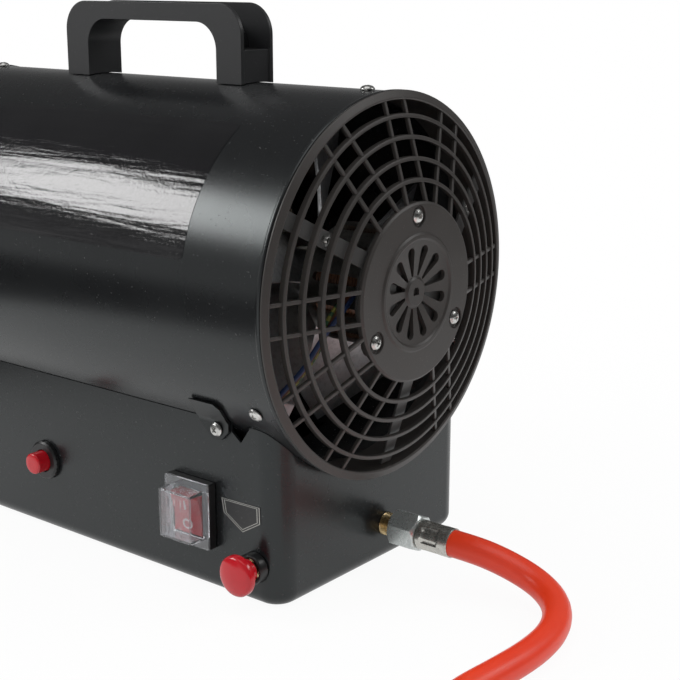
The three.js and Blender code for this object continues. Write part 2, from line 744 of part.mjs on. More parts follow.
function outletRing() {
  const front = DRUM_FRONT + OUTLET_INSET;
  const back = front + OUTLET_THICK;
  const collar = LINER_RADIUS + GAP;
  const edge = DRUM_INSIDE - GAP;
  const profile = [
    [front, LINER_RADIUS - LINER_WALL],
    [front, edge],
    [back + OUTLET_FLANGE, edge],
    [back + OUTLET_FLANGE, edge - OUTLET_THICK],
    [back, edge - OUTLET_THICK],
    [back, collar + OUTLET_THICK],
    [back + OUTLET_FLANGE / 2, collar + OUTLET_THICK],
    [back + OUTLET_FLANGE / 2, collar],
    [back, collar],
    [back, LINER_RADIUS - LINER_WALL],
  ];
  const circle = (edge + collar) / 2;
  const holes = [];
  for (let i = 0; i < OUTLET_HOLES; i += 1) {
    const degrees = (360 * i) / OUTLET_HOLES;
    holes.push(bar(around(front - 1, circle, degrees), around(back + 1, circle, degrees), OUTLET_HOLE_RADIUS, 8));
  }
  return cut(aboutDrum(profile, LINER_SIDES), [...holes, ...drumScrewHoles]);
}

function burnerCup() {
  const inside = BURNER_RADIUS - BURNER_WALL;
  return aboutDrum([
    [BURNER_REAR, 0],
    [BURNER_REAR, BURNER_RADIUS],
    [BURNER_FRONT, BURNER_RADIUS],
    [BURNER_FRONT, inside],
    [BURNER_REAR - BURNER_WALL, inside],
    [BURNER_REAR - BURNER_WALL, 0],
  ], 36);
}

const sensorAngles = { electrode: 45, probe: 135 };

function burnerDisc() {
  const holes = [];
  const circle = (BURNER_DISC + BURNER_RADIUS) / 2;
  for (let i = 0; i < BURNER_DISC_HOLES; i += 1) {
    const degrees = (360 * (i + 0.5)) / BURNER_DISC_HOLES;
    if (i === 1 || i === 4) continue;
    holes.push(bar(around(DISC_X - 3, circle, degrees), around(DISC_X + 3, circle, degrees), BURNER_DISC_HOLE_RADIUS, 8));
  }
  const sensors = [[sensorAngles.electrode, ELECTRODE_RADIUS], [sensorAngles.probe, PROBE_RADIUS]];
  for (const [degrees, radius] of sensors) {
    const from = around(DISC_X - 3, SENSOR_OFFSET, degrees);
    holes.push(bar(from, around(DISC_X + 3, SENSOR_OFFSET, degrees), radius + GAP, 12));
  }
  const disc = aboutDrum([
    [DISC_X, BURNER_RADIUS + GAP],
    [DISC_X, BURNER_DISC],
    [DISC_X + BURNER_WALL, BURNER_DISC],
    [DISC_X + BURNER_WALL, BURNER_RADIUS + GAP],
  ], 30);
  return cut(disc, holes);
}

function burnerStrap() {
  const rear = LINER_REAR + GAP;
  const front = rear + OUTLET_THICK;
  const reach = DRUM_INSIDE - 2 * GAP;
  const half = BURNER_ARM_WIDTH / 2;
  const collarIn = BURNER_RADIUS + GAP;
  const strap = box([rear, -reach, AXIS_Z - half], [front, reach, AXIS_Z + half]);
  const limit = bar([rear - 1, 0, AXIS_Z], [front + 1, 0, AXIS_Z], reach, 60);
  const ring = aboutDrum([[rear, 0], [rear, collarIn + 6], [front, collarIn + 6], [front, 0]], 36);
  const hole = bar([rear - 1, 0, AXIS_Z], [front + 1, 0, AXIS_Z], collarIn, 36);
  return strap.intersect(limit).add(ring).subtract(hole);
}

function electrode() {
  const [from, to] = [around(DISC_X - 10, SENSOR_OFFSET, 45), around(DISC_X + 22, SENSOR_OFFSET, 45)];
  const tip = around(DISC_X - 22, SENSOR_OFFSET, 45);
  return join([bar(from, to, ELECTRODE_RADIUS, 12), bar(tip, from.map((v, i) => (i === 0 ? v + 1 : v)), 1, 8)]);
}

function flameProbe() {
  const degrees = sensorAngles.probe;
  return bar(around(DISC_X - 20, SENSOR_OFFSET, degrees), around(DISC_X + 24, SENSOR_OFFSET, degrees), PROBE_RADIUS, 12);
}

// ---------------------------------------------------------------- handle

function handle() {
  const half = HANDLE_LENGTH / 2;
  const side = HANDLE_WIDTH / 2;
  const foot = AXIS_Z + DRUM_RADIUS / 2;
  const start = AXIS_Z;
  const windowHalf = half - HANDLE_LEG;
  const windowTop = HANDLE_TOP - HANDLE_GRIP;
  const arch = (reach, top, bend, low) =>
    roundedOutline(0, (top + low) / 2, 2 * reach, top - low, bend);
  const whole = slabXZ(arch(half, HANDLE_TOP, HANDLE_OUTER_BEND, start), -side, side);
  const hand = slabXZ(arch(windowHalf, windowTop, HANDLE_INNER_BEND, start), -side - 1, side + 1);
  const drum = bar([-half - OVER, 0, AXIS_Z], [half + OVER, 0, AXIS_Z], DRUM_RADIUS + GAP, 60);
  const trough = side - HANDLE_SIDE;
  const above = box([-half - OVER, -trough, HANDLE_FILL_TOP], [half + OVER, trough, HANDLE_TOP + OVER]);
  const web = slabXZ(
    arch(windowHalf + HANDLE_WEB, windowTop + HANDLE_WEB, HANDLE_INNER_BEND + HANDLE_WEB, start),
    -side,
    side,
  );
  const sinks = [-1, 1].map((end) => {
    const [a, b] = [end * (half - HANDLE_FILL_SINK), end * (half + OVER)].sort((p, q) => p - q);
    return box([a, -trough, foot], [b, trough, HANDLE_FILL_TOP + 1]);
  });
  const shaped = cut(whole, [hand, drum, above.subtract(web), ...sinks]);
  return cut(shaped.translate([HANDLE_MIDDLE, 0, 0]), handleScrewHoles);
}

// ---------------------------------------------------------------- base housing

// A stack of rounded rectangles, each [z, inset], joined into one convex solid.
function stack(levels, corner) {
  const positions = [];
  const perCorner = 4;
  const count = 4 * (perCorner + 1);
  for (const [z, inset] of levels) {
    const radius = corner - inset;
    for (let c = 0; c < 4; c += 1) {
      const signX = c === 0 || c === 3 ? 1 : -1;
      const signY = c < 2 ? 1 : -1;
      for (let k = 0; k <= perCorner; k += 1) {
        const angle = (Math.PI / 2) * (c + k / perCorner);
        positions.push(
          signX * (BASE_HALF - corner) + radius * Math.cos(angle),
          signY * (SIDE_Y - corner) + radius * Math.sin(angle),
          z,
        );
      }
    }
  }
  const index = [];
  for (let level = 0; level + 1 < levels.length; level += 1) {
    for (let k = 0; k < count; k += 1) {
      const [a, b] = [level * count + k, level * count + ((k + 1) % count)];
      index.push(a, b, b + count, a, b + count, a + count);
    }
  }
  const top = (levels.length - 1) * count;
  for (let k = 1; k + 1 < count; k += 1) {
    index.push(0, k + 1, k);
    index.push(top, top + k, top + k + 1);
  }
  const geometry = new THREE.BufferGeometry();
  geometry.setAttribute("position", new THREE.Float32BufferAttribute(positions, 3));
  geometry.setIndex(index);
  return solid(geometry);
}

// Levels around the underside's edge, for a skin this far inside the outer one.
function edgeLevels(skin, top, steps) {
  const radius = BASE_EDGE - skin;
  const levels = [];
  for (let i = 0; i <= steps; i += 1) {
    const angle = ((Math.PI / 2) * i) / steps;
    levels.push([skin + radius * (1 - Math.cos(angle)), skin + radius * (1 - Math.sin(angle))]);
  }
  levels.push([top, skin]);
  return levels;
}

const lugSides = [[1, -1], [-1, -1], [1, 1], [-1, 1]];
const lugNames = ["rear_near", "front_near", "rear_far", "front_far"];

// The lug's outline in X and Z, mirrored towards the front by `end`.
function lugOutline(end, clear = 0) {
  const inner = LUG_X - LUG_WIDTH / 2 - clear;
  const outer = LUG_X + LUG_WIDTH / 2 + clear;
  const points = [
    [inner, LUG_HIGH],
    [outer - 3, LUG_HIGH],
    [outer, LUG_HIGH - 3],
    [outer, LUG_LOW + LUG_CORNER * 0.6],
    [outer - LUG_CORNER * 0.6, LUG_LOW],
    [inner + LUG_CORNER, LUG_LOW],
    [inner, LUG_LOW + LUG_CORNER],
  ];
  return outline(points.map(([x, z]) => [end * x, z]));
}

function notch(end, side) {
  const from = LUG_X + LUG_WIDTH / 2 + 0.5;
  const points = [
    [from, BASE_TOP + OVER],
    [from + NOTCH_WIDTH + OVER, BASE_TOP + OVER],
    [from + NOTCH_WIDTH, BASE_TOP - 0.4],
    [from + NOTCH_WIDTH * 0.48, BASE_TOP - NOTCH_DEPTH],
    [from, BASE_TOP - NOTCH_DEPTH * 0.52],
  ];
  const [low, high] = [side * (SIDE_Y - OVER), side * (SIDE_Y + OVER)].sort((p, q) => p - q);
  return slabXZ(outline(points.map(([x, z]) => [end * x, z])), low, high);
}

const lugSeat = (end, side, proud) => [end * LUG_SCREW_X, side * (SIDE_Y + proud), LUG_SCREW_Z];

function lug(end, side) {
  const inside = DRUM_RADIUS + 2 * GAP;
  const outside = inside + LUG_SHEET;
  const plateIn = SIDE_Y + GAP;
  const plateOut = plateIn + LUG_SHEET;
  const joinZ = AXIS_Z - Math.sqrt(inside ** 2 - plateIn ** 2);
  const [plateLow, plateHigh] = [side * plateIn, side * plateOut].sort((p, q) => p - q);
  const reach = [end * (LUG_X - LUG_WIDTH), end * (LUG_X + LUG_WIDTH)].sort((p, q) => p - q);
  const plate = box([reach[0], plateLow, LUG_LOW - 1], [reach[1], plateHigh, joinZ + 0.8]);
  const rolled = turned([0, 0, AXIS_Z], [1, 0, 0], [
    [reach[0], inside],
    [reach[0], outside],
    [reach[1], outside],
    [reach[1], inside],
  ], 60);
  const [keepLow, keepHigh] = [side * plateIn, side * (DRUM_RADIUS + OVER)].sort((p, q) => p - q);
  const keep = box([reach[0] - 1, keepLow, joinZ - 0.4], [reach[1] + 1, keepHigh, LUG_HIGH + 1]);
  const [cutLow, cutHigh] = [side * (SIDE_Y - LUG_WIDTH), side * (DRUM_RADIUS + LUG_WIDTH)].sort((p, q) => p - q);
  const shape = slabXZ(lugOutline(end), cutLow, cutHigh);
  const whole = plate.add(rolled.intersect(keep)).intersect(shape);
  const clearDrum = bar([reach[0] - 1, 0, AXIS_Z], [reach[1] + 1, 0, AXIS_Z], inside - 0.02, 60);
  return cut(whole, [clearDrum, screwHole(lugSeat(end, side, 0), [0, side, 0])]);
}

function baseShell() {
  const outer = stack(edgeLevels(0, BASE_TOP, 4), BASE_CORNER);
  const inner = stack(edgeLevels(BASE_WALL, BASE_TOP + OVER, 2), BASE_CORNER);
  const drum = bar([-BASE_LENGTH, 0, AXIS_Z], [BASE_LENGTH, 0, AXIS_Z], DRUM_RADIUS + GAP, 60);
  const near = [0, -1, 0];
  const throughNear = (x, z, radius) =>
    bar([x, -SIDE_Y - OVER, z], [x, -SIDE_Y + OVER, z], radius + GAP, 24);
  const switchHole = box(
    [
      SWITCH_X - SWITCH_BODY_WIDTH / 2 - GAP,
      -SIDE_Y - OVER,
      SWITCH_Z - SWITCH_BODY_HEIGHT / 2 - GAP,
    ],
    [
      SWITCH_X + SWITCH_BODY_WIDTH / 2 + GAP,
      -SIDE_Y + OVER,
      SWITCH_Z + SWITCH_BODY_HEIGHT / 2 + GAP,
    ],
  );
  const holes = [
    switchHole,
    throughNear(VALVE_X, VALVE_Z, VALVE_NOSE_RADIUS),
    throughNear(IGNITER_X, IGNITER_Z, IGNITER_RADIUS),
    bar([GLAND_X, SIDE_Y - OVER, GLAND_Z], [GLAND_X, SIDE_Y + OVER, GLAND_Z], GLAND_NECK_RADIUS + GAP, 24),
    bar([BASE_HALF - OVER, INLET_Y, INLET_Z], [BASE_HALF + OVER, INLET_Y, INLET_Z], INLET_RADIUS + GAP, 24),
    ...lugSides.map(([end, side]) => notch(end, side)),
    ...lugSides.map(([end, side]) => screwHole(lugSeat(end, side, 0), [0, side, 0], LUG_SCREW_REACH)),
    // room for the heads of the drum's lower screws, wherever the drum stands
    ...SCREW_ANGLES.slice(1).map((degrees) =>
      bar(
        around(rearScrewX, DRUM_RADIUS, degrees),
        around(rearScrewX, DRUM_RADIUS + SCREW_HEAD_HEIGHT + 2 * GAP, degrees),
        SCREW_HEAD_RADIUS + GAP,
      ),
    ),
  ];
  return cut(outer, [inner, drum, ...holes]);
}

// ---------------------------------------------------------------- switch

const bezelBack = -SIDE_Y - GAP;
const bezelFront = -SIDE_Y - BEZEL_PROUD;
const pivotY = -SIDE_Y + PIVOT_DEPTH;

// A box around the switch's centre, from y = low to y = high.
const switchBox = (width, height, low, high) =>
  box(
    [SWITCH_X - width / 2, low, SWITCH_Z - height / 2],
    [SWITCH_X + width / 2, high, SWITCH_Z + height / 2],
  );

function switchBody() {
  const tilt = radians(PADDLE_TILT);
  const swing = (PADDLE_HEIGHT / 2) * Math.cos(tilt) + PADDLE_REACH * Math.sin(tilt);
  const pocketFloor = pivotY + PADDLE_BACK + 2;
  const frame = switchBox(BEZEL_WIDTH, BEZEL_HEIGHT, bezelFront, bezelBack);
  const body = switchBox(SWITCH_BODY_WIDTH, SWITCH_BODY_HEIGHT, bezelBack - 1, bezelBack + SWITCH_BODY_DEPTH);
  const pocket = switchBox(PADDLE_WIDTH + 2 * SLIDE, 2 * (swing + SLIDE), bezelFront - 1, pocketFloor);
  const reach = PADDLE_WIDTH / 2 + SLIDE + 2;
  const pivot = bar([SWITCH_X - reach, pivotY, SWITCH_Z], [SWITCH_X + reach, pivotY, SWITCH_Z], PIVOT_RADIUS + RUN);
  return cut(frame.add(body), [pocket, pivot]);
}

function switchPaddle() {
  const half = PADDLE_HEIGHT / 2;
  const shape = outline([
    [-PADDLE_REACH, half],
    [-PADDLE_REACH + 1.4, 0],
    [-PADDLE_REACH, -half],
    [-2, -half],
    [PADDLE_BACK, -half * 0.5],
    [PADDLE_BACK, half * 0.5],
    [-2, half],
  ]);
  const width = PADDLE_WIDTH / 2;
  const reach = width + SLIDE + 1.5;
  const geometry = prism(shape, PADDLE_WIDTH, 1);
  const turn = new THREE.Matrix4().makeBasis(
    new THREE.Vector3(0, 1, 0),
    new THREE.Vector3(0, 0, 1),
    new THREE.Vector3(1, 0, 0),
  );
  geometry.applyMatrix4(turn);
  geometry.translate(-width, 0, 0);
  geometry.rotateX(radians(PADDLE_TILT));
  geometry.translate(SWITCH_X, pivotY, SWITCH_Z);
  const pivot = bar([SWITCH_X - reach, pivotY, SWITCH_Z], [SWITCH_X + reach, pivotY, SWITCH_Z], PIVOT_RADIUS);
  return solid(geometry).add(pivot);
}

function switchCover() {
  const back = bezelFront - GAP;
  const flangeFront = back - COVER_FLANGE;
  const front = flangeFront - COVER_REACH;
  const flange = switchBox(BEZEL_WIDTH, BEZEL_HEIGHT, flangeFront, back);
  const outer = switchBox(COVER_WIDTH, COVER_HEIGHT, front, back);
  const inner = switchBox(
    COVER_WIDTH - 2 * COVER_WALL,
    COVER_HEIGHT - 2 * COVER_WALL,
    front + COVER_WALL,
    back + 1,
  );
  return cut(flange.add(outer), [inner]);
}

// ---------------------------------------------------------------- gas valve

const innerFace = -SIDE_Y + BASE_WALL + GAP;
const noseFront = -SIDE_Y - 1.4;
const nutFront = -SIDE_Y - GAP - VALVE_NUT_LENGTH;
const buttonFront = -SIDE_Y - BUTTON_PROUD;
const neckRear = noseFront - BUTTON_TRAVEL - 2 * GAP;
const headRear = buttonFront + BUTTON_HEAD;
const stemRear = innerFace + VALVE_LENGTH * 0.55;
const valveAt = (y) => [VALVE_X, y, VALVE_Z];

function valveBody() {
  const rear = innerFace + VALVE_LENGTH;
  const boreEnd = stemRear + BUTTON_TRAVEL + 1;
  const bore = VALVE_STEM_RADIUS + SLIDE;
  const profile = [
    [noseFront, bore],
    [noseFront, VALVE_NOSE_RADIUS],
    [innerFace + VALVE_SHOULDER, VALVE_NOSE_RADIUS],
    [innerFace + VALVE_SHOULDER, VALVE_RADIUS],
    [rear, VALVE_RADIUS],
    [rear, 0],
    [boreEnd, 0],
    [boreEnd, bore],
  ];
  const body = turned(valveAt(0), [0, 1, 0], profile);
  const outlet = bar([VALVE_X - VALVE_RADIUS - 3, PIPE_Y, VALVE_Z], [VALVE_X - 5, PIPE_Y, VALVE_Z], 5);
  return body.add(outlet);
}

function valveNut() {
  const rear = -SIDE_Y - GAP;
  const profile = [
    [nutFront, BUTTON_NECK_RADIUS + SLIDE],
    [nutFront, VALVE_NUT_RADIUS - 0.8],
    [nutFront + 1, VALVE_NUT_RADIUS],
    [rear, VALVE_NUT_RADIUS],
    [rear, VALVE_NOSE_RADIUS + GAP],
    [noseFront - GAP, VALVE_NOSE_RADIUS + GAP],
    [noseFront - GAP, BUTTON_NECK_RADIUS + SLIDE],
  ];
  return turned(valveAt(0), [0, 1, 0], profile);
}

function valveButton() {
  const bore = VALVE_STEM_RADIUS + GAP;
  const profile = [
    [buttonFront, 0],
    [buttonFront + 0.3, BUTTON_RADIUS * 0.45],
    [buttonFront + 1.2, BUTTON_RADIUS * 0.8],
    [buttonFront + 3, BUTTON_RADIUS],
    [headRear - 1, BUTTON_RADIUS],
    [headRear, BUTTON_RADIUS - 1],
    [headRear, BUTTON_NECK_RADIUS],
    [neckRear, BUTTON_NECK_RADIUS],
    [neckRear, bore],
    [headRear - 1, bore],
    [headRear - 1, 0],
  ];
  return turned(valveAt(0), [0, 1, 0], profile);
}

const valveStem = () => bar(valveAt(headRear - 1 + GAP), valveAt(stemRear), VALVE_STEM_RADIUS, 16);

// ---------------------------------------------------------------- igniter

const igniterAt = (y) => [IGNITER_X, y, IGNITER_Z];
const igniterFront = -SIDE_Y - GAP - IGNITER_FLANGE;
const igniterButtonFront = igniterFront - IGNITER_BUTTON_PROUD;
const igniterButtonRear = -SIDE_Y + 6;

function igniterBody() {
  const bore = IGNITER_BUTTON_RADIUS + SLIDE;
  const boreEnd = igniterButtonRear + IGNITER_TRAVEL + 1;
  const profile = [
    [igniterFront, bore],
    [igniterFront, IGNITER_FLANGE_RADIUS - 1],
    [igniterFront + 1, IGNITER_FLANGE_RADIUS],
    [-SIDE_Y - GAP, IGNITER_FLANGE_RADIUS],
    [-SIDE_Y - GAP, IGNITER_RADIUS],
    [innerFace + IGNITER_DEPTH, IGNITER_RADIUS],
    [innerFace + IGNITER_DEPTH, 0],
    [boreEnd, 0],
    [boreEnd, bore],
  ];
  return turned(igniterAt(0), [0, 1, 0], profile);
}

function igniterButton() {
  const profile = [
    [igniterButtonFront, 0],
    [igniterButtonFront, IGNITER_BUTTON_RADIUS - 1],
    [igniterButtonFront + 1, IGNITER_BUTTON_RADIUS],
    [igniterButtonRear, IGNITER_BUTTON_RADIUS],
    [igniterButtonRear, 0],
  ];
  return turned(igniterAt(0), [0, 1, 0], profile);
}

// ---------------------------------------------------------------- cable gland

function cableGland() {
  const seat = SIDE_Y + GAP;
  const inside = SIDE_Y - BASE_WALL - GAP;
  const profile = [
    [inside - 5, GLAND_BORE],
    [inside - 5, GLAND_RADIUS],
    [inside, GLAND_RADIUS],
    [inside, GLAND_NECK_RADIUS],
    [seat, GLAND_NECK_RADIUS],
    [seat, GLAND_RADIUS],
    [seat + GLAND_LENGTH * 0.6, GLAND_RADIUS],
    [seat + GLAND_LENGTH, GLAND_RADIUS * 0.62],
    [seat + GLAND_LENGTH, GLAND_BORE],
  ];
  return turned([GLAND_X, 0, GLAND_Z], [0, 1, 0], profile, 18);
}

// ---------------------------------------------------------------- gas inlet, hose and fittings

const blockRight = BASE_HALF - BASE_WALL - GAP;
const feedX = blockRight - INLET_BLOCK * 0.7;
const spigotEnd = BASE_HALF + INLET_PROUD;
const swivelStart = spigotEnd + GAP;
const ferruleStart = swivelStart + NUT_LENGTH + GAP;
const hoseStart = ferruleStart + FERRULE_LENGTH + GAP;

function gasInlet() {
  const half = INLET_BLOCK / 2 + 1;
  const block = box(
    [blockRight - INLET_BLOCK, INLET_Y - half, INLET_Z - half],
    [blockRight, INLET_Y + half, INLET_Z + half],
  );
  const spigot = bar([blockRight - 1, INLET_Y, INLET_Z], [spigotEnd, INLET_Y, INLET_Z], INLET_RADIUS, 24);
  const bore = bar([blockRight - 6, INLET_Y, INLET_Z], [spigotEnd + 1, INLET_Y, INLET_Z], INLET_BORE, 12);
  return cut(block.add(spigot), [bore]);
}

function feedPipe() {
  const blockSide = INLET_Y - INLET_BLOCK / 2 - 1 - GAP;
  const valveEnd = innerFace + VALVE_LENGTH + GAP;
  return bar([feedX, valveEnd, INLET_Z], [feedX, blockSide, INLET_Z], FEED_PIPE_RADIUS, 12);
}

// Straight runs between corners, each corner rounded from this far before it to this far after.
function rounded(corners, bend) {
  const points = corners.map((point) => new THREE.Vector3(...point));
  const towards = (from, to, reach) => from.clone().add(to.clone().sub(from).setLength(reach));
  const path = new THREE.CurvePath();
  let from = points[0];
  for (let i = 1; i + 1 < points.length; i += 1) {
    const before = towards(points[i], points[i - 1], bend);
    const after = towards(points[i], points[i + 1], bend);
    path.add(new THREE.LineCurve3(from, before));
    path.add(new THREE.QuadraticBezierCurve3(before, points[i], after));
    from = after;
  }
  path.add(new THREE.LineCurve3(from, points.at(-1)));
  return path;
}

function burnerPipe() {
  const corners = [
    [VALVE_X - VALVE_RADIUS - 3 - GAP, PIPE_Y, VALVE_Z],
    [PIPE_X, PIPE_Y, VALVE_Z],
    [PIPE_X, 0, VALVE_Z + PIPE_CLIMB],
    [PIPE_X, 0, AXIS_Z],
    [BURNER_REAR + GAP, 0, AXIS_Z],
  ];
  return tubeAlong(rounded(corners, PIPE_BEND), PIPE_RADIUS, 8, 28);
}

// A hexagon nut with chamfered ends, along +X from x.
function hexNut(x, y, z, turn = 0) {
  const corner = NUT_FLATS / 2 / Math.cos(Math.PI / 6);
  const points = [];
  for (let i = 0; i < 6; i += 1) {
    const angle = radians(60 * i + turn);
    points.push([y + corner * Math.cos(angle), z + corner * Math.sin(angle)]);
  }
  const hex = slabYZ(outline(points), x, x + NUT_LENGTH);
  const round = turned([x, y, z], [1, 0, 0], [
    [0, 0],
    [0, NUT_FLATS / 2],
    [1.6, corner + 0.1],
    [NUT_LENGTH - 1.6, corner + 0.1],
    [NUT_LENGTH, NUT_FLATS / 2],
    [NUT_LENGTH, 0],
  ]);
  return hex.intersect(round);
}

// A pressed ferrule along +X from x, drawn in where it was crimped.
function ferrule(x, y, z, length = FERRULE_LENGTH) {
  const profile = [
    [0, 0],
    [0, FERRULE_RADIUS],
    [length * 0.2, FERRULE_RADIUS],
    [length * 0.3, FERRULE_RADIUS - 0.7],
    [length * 0.85, FERRULE_RADIUS - 0.7],
    [length * 0.95, FERRULE_RADIUS],
    [length, FERRULE_RADIUS],
    [length, 0],
  ];
  return turned([x, y, z], [1, 0, 0], profile);
}

const coilBottom = HOSE_RADIUS + COIL_LIFT;

// The middle line of the coiled hose after some turns, then straight on past its last turn.
function coilPoint(turns) {
  const whole = Math.min(turns, COIL_TURNS);
  const angle = 2 * Math.PI * (COIL_START + whole);
  const inward = whole < COIL_REVERSES ? whole : 2 * COIL_REVERSES - whole;
  const radius = COIL_OUTER - COIL_SIDEWAYS * inward;
  const climb = THREE.MathUtils.smoothstep(whole, COIL_REVERSES - 0.25, COIL_REVERSES + 0.25);
  return new THREE.Vector3(
    COIL_CENTRE[0] + radius * Math.cos(angle),
    COIL_CENTRE[1] + radius * Math.sin(angle),
    coilBottom + COIL_RISE * climb,
  );
}

const coilSteps = Math.round(COIL_TURNS * COIL_STEPS);
const coilEnd = coilPoint(COIL_TURNS);
const coilTail = coilEnd.clone().add(new THREE.Vector3(2 * HOSE_RADIUS, 0, 0));

class CoilPath extends THREE.Curve {
  getPoint(share, target = new THREE.Vector3()) {
    const steps = coilSteps + 1;
    const at = share * steps;
    if (at <= coilSteps) return target.copy(coilPoint((at / coilSteps) * COIL_TURNS));
    return target.copy(coilEnd).lerp(coilTail, at - coilSteps);
  }

  getPointAt(share, target) {
    return this.getPoint(share, target);
  }

  getTangentAt(share, target) {
    return this.getTangent(share, target);
  }

  getSpacedPoints(divisions) {
    return this.getPoints(divisions);
  }
}

// The least gap between one turn of the coil and the next.
function leastCoilGap() {
  const points = [];
  const samples = 720;
  for (let i = 0; i <= samples; i += 1) points.push(coilPoint((COIL_TURNS * i) / samples));
  const apart = Math.round(samples / COIL_TURNS / 2);
  let least = Infinity;
  for (let i = 0; i < points.length; i += 1) {
    for (let j = i + apart; j < points.length; j += 1) {
      least = Math.min(least, points[i].distanceTo(points[j]));
    }
  }
  return least - 2 * HOSE_RADIUS;
}

console.log(`hose coil: least gap between turns ${leastCoilGap().toFixed(2)} mm`);

function hose() {
  const start = [hoseStart, INLET_Y, INLET_Z];
  const coilStart = coilPoint(0);
  const heading = coilPoint(0.001).sub(coilStart).normalize();
  const end = coilStart.clone().addScaledVector(heading, -GAP);
  const before = end.clone().addScaledVector(heading, -2 * HOSE_RADIUS);
  const route = [start, ...HOSE_ROUTE, before.toArray(), end.toArray()];
  return tubeAlong(smooth(route), HOSE_RADIUS, HOSE_SIDES, HOSE_STEPS);
}

const hoseCoil = () => tubeAlong(new CoilPath(), HOSE_RADIUS, COIL_SIDES, coilSteps + 1);

// The outline of a cord pulled round circles of one radius: their convex hull.
function hullOutline(centres, radius) {
  const rim = 20;
  const points = centres.flatMap(([a, b]) =>
    Array.from({ length: rim }, (_, i) => [
      a + radius * Math.cos((2 * Math.PI * i) / rim),
      b + radius * Math.sin((2 * Math.PI * i) / rim),
    ]),
  );
  points.sort((p, q) => p[0] - q[0] || p[1] - q[1]);
  const turnsLeft = (o, p, q) => (p[0] - o[0]) * (q[1] - o[1]) - (p[1] - o[1]) * (q[0] - o[0]) > 1e-6;
  const chain = (list) => {
    const kept = [];
    for (const point of list) {
      while (kept.length > 1 && !turnsLeft(kept.at(-2), kept.at(-1), point)) kept.pop();
      kept.push(point);
    }
    return kept.slice(0, -1);
  };
  return outline([...chain(points), ...chain(points.toReversed())]);
}

// A band round every layer of the coil, at the middle of one of its steps.
function coilTie(step) {
  const angle = 2 * Math.PI * (COIL_START + (step + 0.5) / COIL_STEPS);
  const centres = [];
  for (let at = step; at < coilSteps; at += COIL_STEPS) {
    const middle = coilPoint(at / COIL_STEPS).lerp(coilPoint((at + 1) / COIL_STEPS), 0.5);
    centres.push([Math.hypot(middle.x - COIL_CENTRE[0], middle.y - COIL_CENTRE[1]), middle.z]);
  }
  const radial = new THREE.Vector3(Math.cos(angle), Math.sin(angle), 0);
  const up = new THREE.Vector3(0, 0, 1);
  const along = new THREE.Vector3().crossVectors(radial, up);
  const band = (gap, width) => {
    const geometry = prism(hullOutline(centres, HOSE_RADIUS + gap), width, 1);
    geometry.translate(0, 0, -width / 2);
    geometry.applyMatrix4(new THREE.Matrix4().makeBasis(radial, up, along));
    geometry.translate(...COIL_CENTRE, 0);
    return solid(geometry);
  };
  return band(TIE_GAP + TIE_THICK, TIE_WIDTH).subtract(band(TIE_GAP, TIE_WIDTH + 2));
}

// ---------------------------------------------------------------- assembly

add("drum_shell", drumShell(), ...PAINT);
add("rear_grille", rearGrille(), ...PLASTIC);
SCREW_ANGLES.forEach((degrees, i) => {
  const seat = around(HUB_FRONT - POCKET_DEPTH + GAP, HUB_SCREW_CIRCLE, degrees);
  add(`hub_screw_${i + 1}`, screw(seat, [1, 0, 0]), ...STEEL);
});
add("motor_bracket", motorBracket(), ...SHEET);
add("fan_motor", fanMotor(), ...SHEET);
add("fan_shaft", fanShaft(), ...STEEL);
add("fan", fan(), ...SHEET);
add("fan_nut", fanNut(), ...STEEL);
add("combustion_tube", liner(), ...SHEET);
add("outlet_ring", outletRing(), ...PAINT);
add("burner_cup", burnerCup(), ...SHEET);
add("burner_disc", burnerDisc(), ...SHEET);
add("burner_strap", burnerStrap(), ...SHEET);
add("burner_pipe", burnerPipe(), ...BRASS);
add("spark_electrode", electrode(), 0xe8e4da, 0.4, 0);
add("flame_probe", flameProbe(), ...STEEL);
add("handle", handle(), ...PLASTIC);
handleScrewXs.forEach((x, i) => {
  const seat = [x, 0, AXIS_Z + DRUM_INSIDE - GAP];
  add(`handle_screw_${i + 1}`, screw(seat, [0, 0, -1]), ...STEEL);
});
add("base_shell", baseShell(), ...PAINT);
lugSides.forEach(([end, side], i) => {
  add(`lug_${lugNames[i]}`, lug(end, side), ...PAINT);
  const seat = lugSeat(end, side, 2 * GAP + LUG_SHEET);
  add(`lug_screw_${lugNames[i]}`, screw(seat, [0, side, 0], LUG_SCREW_REACH), ...STEEL);
});
[["rear", rearScrewX], ["front", frontScrewX]].forEach(([where, x]) => {
  SCREW_ANGLES.forEach((degrees, i) => {
    const seat = around(x, DRUM_RADIUS + GAP, degrees);
    add(`drum_screw_${where}_${i + 1}`, screw(seat, outwardAt(degrees)), ...STEEL);
  });
});
add("switch_body", switchBody(), ...DARK_PLASTIC);
add("switch_paddle", switchPaddle(), ...RED);
add("switch_cover", switchCover(), 0xe8ecee, 0.1, 0, { transparent: true, opacity: 0.35 });
add("gas_valve", valveBody(), ...BRASS);
add("valve_nut", valveNut(), ...DARK_PLASTIC);
add("valve_button", valveButton(), ...RED);
add("valve_stem", valveStem(), ...STEEL);
add("igniter_body", igniterBody(), ...DARK_PLASTIC);
add("igniter_button", igniterButton(), ...DARK_PLASTIC);
add("cable_gland", cableGland(), ...DARK_PLASTIC);
add("gas_inlet", gasInlet(), ...BRASS);
add("feed_pipe", feedPipe(), ...BRASS);
add("swivel_nut", hexNut(swivelStart, INLET_Y, INLET_Z, 30), ...STEEL);
add("hose_ferrule", ferrule(ferruleStart, INLET_Y, INLET_Z), ...STEEL);
add("hose", hose(), ...RUBBER);
add("hose_coil", hoseCoil(), ...RUBBER);
const farFerrule = coilTail.x + GAP;
add("far_ferrule", ferrule(farFerrule, coilTail.y, coilTail.z), ...STEEL);
add("far_nut", hexNut(farFerrule + FERRULE_LENGTH + GAP, coilTail.y, coilTail.z, 0), ...STEEL);
